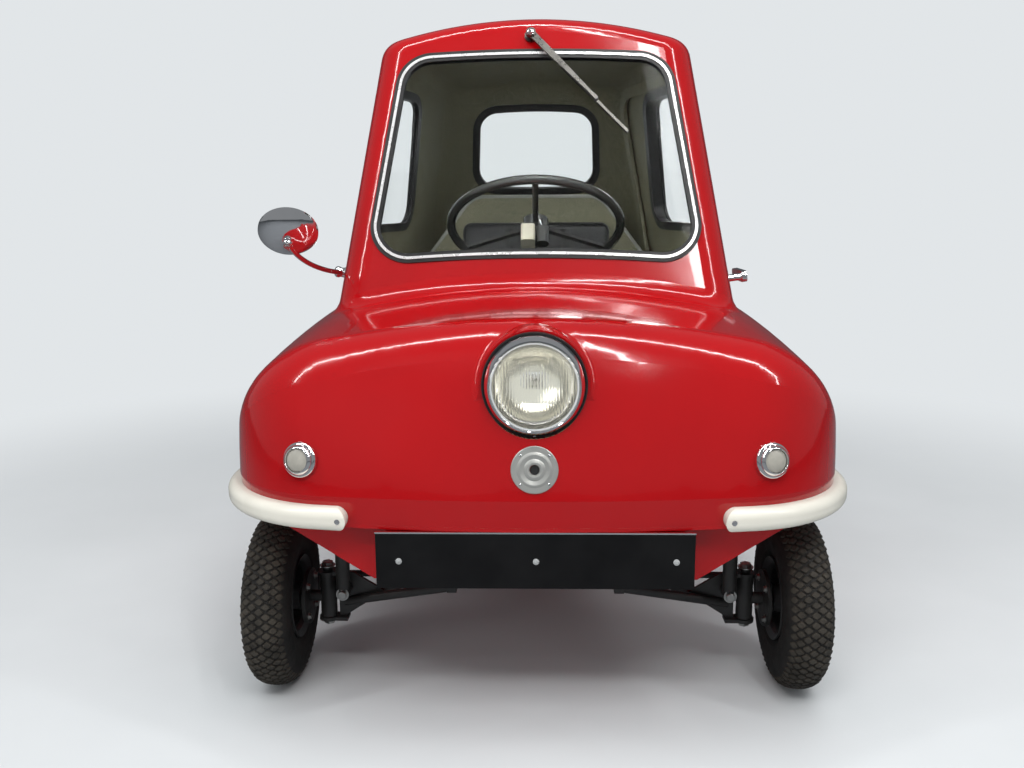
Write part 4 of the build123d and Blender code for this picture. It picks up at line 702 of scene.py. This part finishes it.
# The mirror: a round dished chrome head clamped to a bowed stalk, which comes out of a turned
# chrome foot on the body's right side. Its glass is silvered and faces the driver.
MIRROR_HEAD = Vector((-0.425, -0.356, 0.773))
MIRROR_WAY = Vector((-0.13, 0.76, 0.61)).normalized()
CLAMP_NUT = (0.008, 0.004)
FOOT_START = (-1.0, -0.186, 0.690)
FOOT_COVER = [(0.0150, -0.001), (0.0150, 0.0020), (0.0125, 0.0045), (0.0095, 0.0100), (0.0088, 0.0160),
              (0.0105, 0.0190), (0.0105, 0.0240), (0.0080, 0.0270), (0.0, 0.0280)]
mirror_silver, tree = new_material("mirror_silver", {"Base Color": (0.88, 0.89, 0.90, 1.0), "Metallic": 1.0})
set_gloss(tree, 12.0, 0.0, 0.02)
dress(["mirror_glass"], mirror_silver)
form = bmesh.new()
hex_nut(form, skin_spot("mirror", MIRROR_HEAD - MIRROR_WAY * 0.2, MIRROR_WAY), *CLAMP_NUT)
add_piece("mirror_clamp_nut", form, satin_alloy, "car_body")
form = bmesh.new()
turn_profile(form, FOOT_COVER, skin_spot("body_shell", FOOT_START, (1.0, 0.0, 0.0)), 40)
add_piece("mirror_foot_cover", form, chrome, "car_body", 60.0)

# Steering: a black moulded wheel on a steel column, with a chrome nut in its boss. The column,
# its gear, the struts, the pedals and the levers share one black steel paint.
COLUMN_LEAN = math.radians(32.0)
COLUMN_WAY = Vector((0.0, math.sin(COLUMN_LEAN), math.cos(COLUMN_LEAN)))
WHEEL_CENTRE = Vector((0.0, -0.040, 0.772))
BOSS_TOP = 0.016
BOSS = [(0.0205, 0.0), (0.0200, 0.0016), (0.0150, 0.0036), (0.0110, 0.0042), (0.0, 0.0042)]
BOSS_NUT = (0.014, 0.006)
black_plastic = finish_material(
    "black_wheel_plastic", (0.030, 0.030, 0.028), (0.046, 0.046, 0.043), (30.0, 0.14, 0.26), (240.0, 0.08)
)
dress(["steering_wheel", "column_switch"], black_plastic)
black_paint = finish_material(
    "black_steel_paint", (0.014, 0.014, 0.014), (0.028, 0.027, 0.026), (30.0, 0.28, 0.5), (90.0, 0.18)
)
dress(["steering_shaft", "column_tube", "front_frame", "knuckle_left", "knuckle_right", "tie_rod",
       "front_struts", "rear_fork", "pedals", "levers"], black_paint)
form = bmesh.new()
boss = place_along(WHEEL_CENTRE + COLUMN_WAY * BOSS_TOP, COLUMN_WAY, (1.0, 0.0, 0.0))
turn_profile(form, BOSS, boss, 40)
hex_nut(form, boss @ Matrix.Translation((0.0, 0.0, BOSS[-1][1])), *BOSS_NUT, washer=False)
add_piece("steering_wheel_nut", form, chrome, "steering")

# The instrument: a cream housing with a plain dial that faces the driver, behind a chrome ring,
# and beside it a black switch with a small chrome lever.
DIAL_CENTRE = Vector((-0.015, -0.0892, 0.7556))
SWITCH_CENTRE = Vector((0.014, -0.0892, 0.7556))
DIAL_FACE = 0.018
DIAL_RADIUS = 0.0125
DIAL_RING = [(DIAL_RADIUS, 0.0), (DIAL_RADIUS, 0.0022), (DIAL_RADIUS - 0.0008, 0.0028),
             (DIAL_RADIUS - 0.0017, 0.0022), (DIAL_RADIUS - 0.0017, 0.0)]
LEVER = [(0.0050, 0.0), (0.0050, 0.002), (0.0016, 0.003), (0.0016, 0.014), (0.0028, 0.017),
         (0.0024, 0.020), (0.0, 0.021)]
LEVER_LEAN = 18.0
DIAL_PLATE = [(DIAL_RADIUS - 0.0014, 0.0006), (0.0, 0.0006)]
TICK_HALF = 0.0002
TICK_TOP = 0.0102
NEEDLE_AT = 118.0
NEEDLE = [(-0.0005, -0.002), (0.0005, -0.002), (0.00015, 0.009), (-0.00015, 0.009)]
cream_plastic = finish_material(
    "cream_plastic", (0.66, 0.61, 0.47), (0.74, 0.69, 0.55), (20.0, 0.2, 0.34), (200.0, 0.06)
)
dress(["instrument"], cream_plastic)
dial_place = place_along(DIAL_CENTRE + COLUMN_WAY * DIAL_FACE, COLUMN_WAY, (1.0, 0.0, 0.0))
switch_place = place_along(SWITCH_CENTRE + COLUMN_WAY * DIAL_FACE, COLUMN_WAY, (1.0, 0.0, 0.0))
form = bmesh.new()
turn_profile(form, DIAL_RING, dial_place, 40)
turn_profile(form, LEVER, switch_place @ Matrix.Rotation(math.radians(LEVER_LEAN), 4, "X"), 20)
add_piece("dial_ring_and_lever", form, chrome, "car_body")
form = bmesh.new()
turn_profile(form, DIAL_PLATE, dial_place, 40)
add_piece("dial_face", form, plate_black, "car_body")
form = bmesh.new()
for step in range(13):
    tick = dial_place @ Matrix.Rotation(math.radians(-120.0 + 20.0 * step), 4, "Z")
    foot = TICK_TOP - (0.0022 if step % 3 == 0 else 0.0013)
    corners = [(-TICK_HALF, TICK_TOP), (TICK_HALF, TICK_TOP), (TICK_HALF, foot), (-TICK_HALF, foot)]
    form.faces.new(add_ring(form, tick, [(x, y, 0.0008) for x, y in corners]))
needle = dial_place @ Matrix.Rotation(math.radians(NEEDLE_AT), 4, "Z")
form.faces.new(add_ring(form, needle, [(x, y, 0.0012) for x, y in NEEDLE]))
add_piece("dial_marks", form, white_gloss, "car_body")

# Front running gear: black painted arms and plates, joined by bright plated bolts and nuts. The
# large bolt on each gusset faces forwards, and a nut tops each kingpin and track rod end.
AXLE_Y = -0.451
AXLE_Z = 0.150
KINGPIN_X = 0.360
# place of each bolt on the car's left, the way its head faces, across flats, height
FRAME_BOLTS = [
    ((0.328, AXLE_Y - 0.036, 0.167), (0.0, -1.0, 0.0), 0.014, 0.007),
    ((KINGPIN_X, AXLE_Y, 0.205), (0.0, 0.0, 1.0), 0.017, 0.008),
    ((KINGPIN_X, AXLE_Y, 0.108), (0.0, 0.0, -1.0), 0.017, 0.008),
]
ROD_END = (-0.351, 0.159)
ROD_NUT = (0.009, 0.006)
BACKPLATE_X = 0.390
BACKPLATE_CIRCLE = 0.038
BACKPLATE_BOLT = (0.009, 0.005)
zinc = finish_material(
    "zinc_plate", (0.50, 0.50, 0.48), (0.62, 0.61, 0.58), (70.0, 0.3, 0.46), (200.0, 0.12), metal=1.0
)
form = bmesh.new()
for side in (-1, 1):
    for (x, y, z), way, across, height in FRAME_BOLTS:
        hex_nut(form, place_along((side * x, y, z), way), across, height)
add_piece("front_frame_bolts", form, zinc, "car_body")
for side, body in ((1, "left_knuckle"), (-1, "right_knuckle")):
    form = bmesh.new()
    rod_end = place_along((side * KINGPIN_X, *ROD_END), (0.0, 0.0, 1.0))
    hex_nut(form, rod_end, *ROD_NUT, washer=False)
    for y, z, x in four_round(BACKPLATE_CIRCLE, BACKPLATE_X):
        spot = place_along((side * x, AXLE_Y + y, AXLE_Z + z), (-side, 0.0, 0.0))
        hex_nut(form, spot, *BACKPLATE_BOLT)
    add_piece(f"{body}_bolts", form, zinc, body)

# Wheels: pressed steel rims painted dark, each with four nuts and a valve, and on the front
# ones a bright dust cap over the hub.
HUB_FACE = 0.028
DISH_FACE = 0.012
NUT_CIRCLE = 0.0295
WHEEL_NUT = (0.0085, 0.006)
DUST_CAP = [(0.0225, 0.0), (0.0225, 0.001), (0.0195, 0.0015), (0.0190, 0.006), (0.0155, 0.0085), (0.0, 0.009)]
VALVE_RADIUS = 0.053
VALVE = [(0.0030, -0.004), (0.0030, 0.010), (0.0022, 0.011), (0.0022, 0.019), (0.0028, 0.0195),
         (0.0028, 0.024), (0.0, 0.0245)]
# name, centre x, centre y, side that the dish faces
WHEELS = [
    ("front_left", 0.440, AXLE_Y, 1),
    ("front_right", -0.440, AXLE_Y, -1),
    ("rear", 0.0, 0.476, 1),
]
rim_paint = finish_material(
    "dark_rim_paint", (0.030, 0.030, 0.031), (0.045, 0.045, 0.046), (30.0, 0.3, 0.48), (90.0, 0.15)
)
dress(["rim_front_left", "rim_front_right", "rim_rear"], rim_paint)
for name, x, y, side in WHEELS:
    form = bmesh.new()
    hub = place_along((x, y, AXLE_Z), (side, 0.0, 0.0))
    for nut in four_round(NUT_CIRCLE, DISH_FACE):
        hex_nut(form, hub @ Matrix.Translation(nut), *WHEEL_NUT, washer=False)
    if x:
        turn_profile(form, DUST_CAP, hub @ Matrix.Translation((0.0, 0.0, HUB_FACE)), 32)
    turn_profile(form, VALVE, hub @ Matrix.Translation((0.0, VALVE_RADIUS, 0.0)), 16)
    add_piece(f"wheel_fittings_{name}", form, zinc, f"wheel_{name}")

# Tyres: balloon tyres with staggered rows of rounded diamond studs over the crown and the
# shoulders, and plain sidewalls with two raised rings. Moulded rubber, matt, with brown dust.
CROWN_RADIUS = 0.1468
BELLY_RADIUS = 0.106
BELLY_SHARE = 0.6
HALF_WIDTH = 0.0386
BEAD_RADIUS = 0.0655
BEAD_HALF = 0.0265
BEAD_LIP = 0.006
SECTION_STEPS = 26
# step of the section from the crown, and how far it stands out as a ring
SIDE_RINGS = {16: 0.0008, 17: 0.0008, 22: 0.0012}
STEPS_ROUND = 96
BLOCKS_ROUND = 58
BLOCK_RISE = 0.0032
BLOCK_HALF_ROUND = 0.0061
BLOCK_HALF_ACROSS = 0.0079
ROW_PITCH = 0.0106
ROWS_EACH_SIDE = 3
# where a stud's corners lie across and round the tyre, as shares of its half sizes
STUD_CORNERS = [(0.18, -0.92), (0.90, -0.20), (0.90, 0.20), (0.18, 0.92),
                (-0.18, 0.92), (-0.90, 0.20), (-0.90, -0.20), (-0.18, -0.92)]


def tyre_section(share):
    """A point (across, radius) of the carcass; share runs from 0 at the crown to 1 at the bead."""
    if share < BELLY_SHARE:
        turn = math.radians(90.0) * share / BELLY_SHARE
        across = HALF_WIDTH * math.sin(turn) ** 0.9
        return across, BELLY_RADIUS + (CROWN_RADIUS - BELLY_RADIUS) * math.cos(turn) ** 0.8
    fall = (share - BELLY_SHARE) / (1.0 - BELLY_SHARE)
    across = HALF_WIDTH - (HALF_WIDTH - BEAD_HALF) * fall**2.2
    return across, BELLY_RADIUS - (BELLY_RADIUS - BEAD_RADIUS) * fall


def walk_section(length):
    """The section's point and its outward way at a length along it from the crown."""
    last, gone = Vector(tyre_section(0.0)), 0.0
    for step in range(1, 241):
        here = Vector(tyre_section(step / 400.0))
        gone += (here - last).length
        if gone >= length:
            along = (here - last).normalized()
            return here, Vector((-along.y, along.x))
        last = here
    return last, Vector((1.0, 0.0))


def tyre_point(across, radius, turn):
    """A point of a tyre whose axle runs along X."""
    return Vector((across, radius * math.cos(turn), radius * math.sin(turn)))


def build_tyre(name, x, y):
    """The carcass as one turned skin, and rounded diamond studs laid over it row by row."""
    form = bmesh.new()
    centre = Matrix.Translation((x, y, AXLE_Z))
    half = [tyre_section(step / SECTION_STEPS) for step in range(SECTION_STEPS + 1)]
    half = [(a + SIDE_RINGS.get(i, 0.0), r) for i, (a, r) in enumerate(half)]
    section = [(-a, r) for a, r in reversed(half[1:])] + half
    lip = BEAD_HALF - BEAD_LIP
    section += [(lip, BEAD_RADIUS - 0.0008), (-lip, BEAD_RADIUS - 0.0008)]
    turns = [2.0 * math.pi * step / STEPS_ROUND for step in range(STEPS_ROUND)]
    rings = [add_ring(form, centre, [tyre_point(a, r, turn) for turn in turns]) for a, r in section]
    join_rings(form, rings + rings[:1])
    carcass_faces = len(form.faces)
    for row in range(-ROWS_EACH_SIDE, ROWS_EACH_SIDE + 1):
        middle, out = walk_section(abs(row) * ROW_PITCH)
        side = -1.0 if row < 0 else 1.0
        along = Vector((out.y, -out.x))
        rise = BLOCK_RISE * (0.6 if abs(row) == ROWS_EACH_SIDE else 1.0)
        for step in range(BLOCKS_ROUND):
            turn = 2.0 * math.pi * (step + 0.5 * (row % 2)) / BLOCKS_ROUND
            levels = []
            for reach, lift in ((1.0, -0.001), (0.90, rise * 0.75), (0.74, rise)):
                points = []
                for u, v in STUD_CORNERS:
                    spot = middle + out * lift + along * (u * BLOCK_HALF_ACROSS * reach)
                    swing = turn + v * BLOCK_HALF_ROUND * reach / spot.y
                    points.append(tyre_point(side * spot.x, spot.y, swing))
                levels.append(add_ring(form, centre, points))
            join_rings(form, levels)
            form.faces.new(levels[-1])
    tyre = add_piece(f"tread_{name}", form, tyre_rubber, f"wheel_{name}", 28.0)
    tyre.data.materials.append(stud_rubber)
    for face in tyre.data.polygons[carcass_faces:]:
        face.material_index = 1
    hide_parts(f"tyre_{name}")


RUBBER_GLOSS = (25.0, 0.6, 0.85)
RUBBER_GRAIN = (180.0, 0.3)
tyre_rubber = finish_material(
    "tyre_rubber", (0.010, 0.0095, 0.009), (0.021, 0.019, 0.017), RUBBER_GLOSS, RUBBER_GRAIN, tone=30.0
)
stud_rubber = finish_material(
    "dusty_stud_rubber", (0.017, 0.015, 0.012), (0.052, 0.044, 0.034), RUBBER_GLOSS, RUBBER_GRAIN, tone=30.0
)
for name, x, y, side in WHEELS:
    build_tyre(name, x, y)

# Rear fork: a tubular trailing fork with its pivot bolt under the tub, axle nuts, and struts
# whose rods run up beside the wheel. The exhaust hangs beside it, in grey heat proof paint, and
# its silencer has a rolled seam at each end.
# distance from the middle, y, z, across flats, height
FORK_NUTS = [(0.076, 0.292, 0.162, 0.015, 0.008), (0.070, 0.476, 0.150, 0.017, 0.010)]
SILENCER_X = -0.118
SILENCER_Z = 0.146
# y of each seam, and the way that its end of the silencer faces
SILENCER_ENDS = [(0.278, -1.0), (0.460, 1.0)]
ROLLED_SEAM = [(0.0265, -0.003), (0.0284, -0.003), (0.0288, 0.0), (0.0284, 0.003), (0.0262, 0.0046),
               (0.0120, 0.0050)]
form = bmesh.new()
for side in (-1, 1):
    for x, y, z, across, height in FORK_NUTS:
        hex_nut(form, place_along((side * x, y, z), (side, 0.0, 0.0)), across, height)
add_piece("rear_fork_nuts", form, zinc, "car_body")
heat_paint = finish_material(
    "heat_proof_paint", (0.075, 0.072, 0.070), (0.15, 0.135, 0.12), (40.0, 0.5, 0.75), (140.0, 0.3),
    tone=30.0, metal=0.3
)
dress(["exhaust"], heat_paint)
form = bmesh.new()
for y, way in SILENCER_ENDS:
    turn_profile(form, ROLLED_SEAM, place_along((SILENCER_X, y, SILENCER_Z), (0.0, way, 0.0)), 40)
add_piece("silencer_seams", form, heat_paint, "car_body")

# The engine: a small air cooled single, seen only through the rear window and from beneath. Its
# crankcase is a plain casting, with a finned barrel standing on it.
FIN_COUNT = 11
FIN_THICK = 0.0028
FIN_CHAMFER = 0.0008
FIN_MARGIN = 0.006
CASE_SHARE = 0.45
CASE_CHAMFER = 0.008
BARREL_INSET = Vector((0.012, 0.030, 0.0))
CORE_INSET = Vector((0.022, 0.040, 0.0))
CORE_CHAMFER = 0.006
cast_alloy = finish_material(
    "cast_alloy", (0.17, 0.17, 0.165), (0.27, 0.27, 0.26), (50.0, 0.42, 0.65), (220.0, 0.35), metal=0.85
)


def add_block(form, low, high, bottom, top, chamfer):
    """A block from bottom to top with chamfered upright edges and a chamfered top."""
    rings = []
    levels = [(chamfer * 0.5, bottom), (0.0, bottom + chamfer), (0.0, top - chamfer), (chamfer, top)]
    for inset, z in levels:
        x0, y0, x1, y1 = low.x + inset, low.y + inset, high.x - inset, high.y - inset
        c = chamfer
        corners = [(x0 + c, y0), (x1 - c, y0), (x1, y0 + c), (x1, y1 - c)]
        corners += [(x1 - c, y1), (x0 + c, y1), (x0, y1 - c), (x0, y0 + c)]
        rings.append(add_ring(form, Matrix(), [(x, y, z) for x, y in corners]))
    join_rings(form, rings)
    form.faces.new(rings[0])
    form.faces.new(rings[-1])


engine_low, engine_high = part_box("engine_block")
case_top = engine_low.z + (engine_high.z - engine_low.z) * CASE_SHARE
form = bmesh.new()
add_block(form, engine_low, engine_high, engine_low.z, case_top, CASE_CHAMFER)
add_block(form, engine_low + CORE_INSET, engine_high - CORE_INSET, case_top - 0.002, engine_high.z - 0.004,
          CORE_CHAMFER)
for step in range(FIN_COUNT):
    z = case_top + FIN_MARGIN + (engine_high.z - case_top - 2.0 * FIN_MARGIN) * step / (FIN_COUNT - 1)
    add_block(form, engine_low + BARREL_INSET, engine_high - BARREL_INSET, z, z + FIN_THICK, FIN_CHAMFER)
engine = add_piece("engine_casting", form, cast_alloy, "car_body")
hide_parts("engine_block")

# The seat base and the panel behind it are glass fibre mouldings in the same speckled coat, and
# the panel's cut edge is covered by a pale round trim.
PANEL_FOOT = Vector((0.0, 0.282, 0.392))
PANEL_LEAN = math.radians(5.1)
PANEL_UP = Vector((0.0, math.sin(PANEL_LEAN), math.cos(PANEL_LEAN)))
PANEL_BACK = Vector((0.0, math.cos(PANEL_LEAN), -math.sin(PANEL_LEAN)))
PANEL_THICK = 0.008
# half width, height and corner radius, from the panel's foot up
PANEL_CORNERS = [(0.285, 0.020, 0.0), (0.262, 0.300, 0.060), (0.152, 0.445, 0.060)]
TRIM_RADIUS = 0.0052
dress(["seat_base", "seat_shell"], inner_coat)


def round_corner(before, corner, after, radius, steps=8):
    """Points of the arc that rounds a corner between two straight runs."""
    way_in = (before - corner).normalized()
    way_out = (after - corner).normalized()
    half = way_in.angle(way_out) / 2.0
    centre = corner + (way_in + way_out).normalized() * (radius / math.sin(half))
    start = corner + way_in * (radius / math.tan(half)) - centre
    end = corner + way_out * (radius / math.tan(half)) - centre
    sweep = [start.lerp(end, step / steps).normalized() for step in range(steps + 1)]
    return [centre + way * radius for way in sweep]


def add_cord(name, points, radius, bevel, closed, material):
    """A round cord through points, as a curve that rides on the car's body."""
    curve = bpy.data.curves.new(name, "CURVE")
    curve.dimensions = "3D"
    curve.bevel_depth = radius
    curve.bevel_resolution = bevel
    curve.use_fill_caps = not closed
    run = curve.splines.new("POLY")
    run.points.add(len(points) - 1)
    run.use_cyclic_u = closed
    for point, spot in zip(run.points, points):
        point.co = (*spot, 1.0)
    curve.materials.append(material)
    cord = add_object(name, curve)
    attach(cord, "car_body")


flat = [(Vector((x, z)), radius) for x, z, radius in PANEL_CORNERS]
flat += [(Vector((-x, z)), radius) for x, z, radius in reversed(PANEL_CORNERS)]
outline = []
for i, (corner, radius) in enumerate(flat):
    if radius:
        outline += round_corner(flat[i - 1][0], corner, flat[i + 1][0], radius)
    else:
        outline.append(corner)
edge_middle = PANEL_BACK * (PANEL_THICK / 2.0)
trim_line = [PANEL_FOOT + Vector((x, 0.0, 0.0)) + PANEL_UP * z + edge_middle for x, z in outline]
trim_plastic = finish_material(
    "pale_edge_trim", (0.36, 0.36, 0.32), (0.44, 0.43, 0.38), (30.0, 0.3, 0.45), (150.0, 0.1)
)
add_cord("seat_panel_trim", trim_line, TRIM_RADIUS, 4, False, trim_plastic)

# The seat's cushion and back: foam in black leathercloth, sewn in three upright panels with
# piping round the edge. They swell between their seams and lie flat on the moulding.
VOXEL = 0.005
PRESSURE = 4.0
PUFF_FRAMES = 20
START_SHARE = 0.972
SEAM_XS = (-0.062, 0.062)
SEAM_DEEP = 0.006
SEAM_HALF = 0.006
PIPE_RADIUS = 0.0033
PIPE_CORNER = 0.028
PIPE_INSET = 0.006
# how far each pad may swell on its sewn side, and sideways
CUSHION_CAPS = (0.009, 0.0)
BACK_CAPS = (0.002, 0.0)
vinyl = finish_material(
    "black_leathercloth", (0.012, 0.012, 0.013), (0.022, 0.022, 0.023), (14.0, 0.34, 0.52), (420.0, 0.55)
)


def plain_mesh(piece):
    """The piece's mesh as its modifiers leave it, as a mesh of its own."""
    bpy.context.view_layer.update()
    held = piece.evaluated_get(bpy.context.evaluated_depsgraph_get())
    return bpy.data.meshes.new_from_object(held)


def puff(pad, cap):
    """Blows the pad up as cloth, with each point moved by the cap at most."""
    cloth = pad.modifiers.new("puff", "CLOTH")
    cloth.settings.quality = 6
    cloth.settings.use_pressure = True
    cloth.settings.uniform_pressure_force = PRESSURE
    cloth.settings.effector_weights.gravity = 0.0
    cloth.point_cache.frame_start = 1
    cloth.point_cache.frame_end = PUFF_FRAMES
    for step in range(1, PUFF_FRAMES + 1):
        bpy.context.scene.frame_set(step)
        bpy.context.view_layer.update()
    blown = plain_mesh(pad)
    pad.modifiers.clear()
    bpy.context.scene.frame_set(1)
    for vertex, puffed in zip(pad.data.vertices, blown.vertices):
        move = puffed.co - vertex.co
        vertex.co += move * min(1.0, cap / max(move.length, 1e-9))


def stuffed_pad(name, node, open_side, caps):
    """A foam pad grown from its CAD solid: remeshed, blown up as cloth, then creased and smoothed.
    open_side is the way its sewn face looks, caps how far it may swell that way and sideways."""
    low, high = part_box(node)
    middle = (low + high) / 2.0
    shape = nodes[node].data.copy()
    for vertex in shape.vertices:
        vertex.co = middle + (vertex.co - middle) * START_SHARE
    pad = add_object(name, shape)
    remesh = pad.modifiers.new("even_cells", "REMESH")
    remesh.mode = "VOXEL"
    remesh.voxel_size = VOXEL
    even = plain_mesh(pad)
    pad.modifiers.clear()
    pad.data = even
    still = [vertex.co.copy() for vertex in even.vertices]
    puff(pad, caps[0])
    side = Vector(open_side)
    for vertex, old in zip(even.vertices, still):
        out = (old - middle).dot(side)
        if out > 0.0:
            pull = max(math.exp(-((vertex.co.x - seam) / SEAM_HALF) ** 2) for seam in SEAM_XS)
            vertex.co -= side * (SEAM_DEEP * pull)
        for axis in range(3):
            keep_low = low[axis] - (caps[0] if side[axis] < -0.5 else caps[1])
            keep_high = high[axis] + (caps[0] if side[axis] > 0.5 else caps[1])
            vertex.co[axis] = min(max(vertex.co[axis], keep_low), keep_high)
    smooth = pad.modifiers.new("finer", "SUBSURF")
    smooth.levels = 1
    smooth.render_levels = 1
    pad.data = plain_mesh(pad)
    pad.modifiers.clear()
    pad.data.materials.clear()
    pad.data.materials.append(vinyl)
    for face in pad.data.polygons:
        face.use_smooth = True
    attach(pad, "car_body")
    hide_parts(node)
    return pad


def add_piping(name, pad, corners):
    """Round piping along a closed line of corners, laid on the pad's own skin."""
    line = []
    for i, corner in enumerate(corners):
        after = corners[(i + 1) % len(corners)]
        beyond = corners[(i + 2) % len(corners)]
        line += round_corner(corners[i - 1], corner, after, PIPE_CORNER, 6)
        start = line[-1]
        gap = round_corner(corner, after, beyond, PIPE_CORNER, 6)[0] - start
        line += [start + gap * (step / 24.0) for step in range(1, 24)]
    laid = []
    for spot in line:
        found, place, normal, face = pad.closest_point_on_mesh(spot)
        laid.append(place + normal * (PIPE_RADIUS * 0.2))
    add_cord(name, laid, PIPE_RADIUS, 3, True, vinyl)


cushion_pad = stuffed_pad("seat_cushion_pad", "seat_cushion", (0.0, 0.0, 1.0), CUSHION_CAPS)
low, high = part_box("seat_cushion")
left, right, z = low.x + PIPE_INSET, high.x - PIPE_INSET, high.z - PIPE_INSET
front, back = low.y + PIPE_INSET, high.y - PIPE_INSET
rim = [(left, front, z), (right, front, z), (right, back, z), (left, back, z)]
add_piping("seat_cushion_piping", cushion_pad, [Vector(corner) for corner in rim])
back_pad = stuffed_pad("seat_back_pad", "seat_back", (0.0, -1.0, 0.0), BACK_CAPS)
low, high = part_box("seat_back")
left, right, top = low.x + PIPE_INSET, high.x - PIPE_INSET, high.z - PIPE_INSET
foot, foot_y, top_y = low.z + 0.012, low.y + 0.004, low.y + 0.052
rim = [(left, foot_y, foot), (right, foot_y, foot), (right, top_y, top), (left, top_y, top)]
add_piping("seat_back_piping", back_pad, [Vector(corner) for corner in rim])

# Pedals: steel arms on one cross rod, each pad with a tread of six moulded rubber ribs.
PEDAL_XS = (-0.120, -0.060, 0.060)
PEDAL_PAD_Y = -0.502
PEDAL_PAD_Z = 0.354
PEDAL_WAY = Vector((0.0, 0.94, 0.34))
RIB_COUNT = 6
RIB_PITCH = 0.0084
RIB_FIRST = -0.021
RIB_HALF_LONG = 0.0195
RIB_HALF_WIDE = 0.0026
# inset and height of a rib's levels
RIB_LEVELS = [(0.0, 0.005), (0.0, 0.0068), (0.0008, 0.0078)]
form = bmesh.new()
for x in PEDAL_XS:
    tread = place_along((x, PEDAL_PAD_Y, PEDAL_PAD_Z), PEDAL_WAY)
    for step in range(RIB_COUNT):
        middle = RIB_FIRST + RIB_PITCH * step
        levels = []
        for inset, z in RIB_LEVELS:
            a, b = RIB_HALF_LONG - inset, RIB_HALF_WIDE - inset
            ring = [(-a, middle - b, z), (a, middle - b, z), (a, middle + b, z), (-a, middle + b, z)]
            levels.append(add_ring(form, tread, ring))
        join_rings(form, levels)
        form.faces.new(levels[-1])
add_piece("pedal_treads", form, seal_rubber, "car_body")
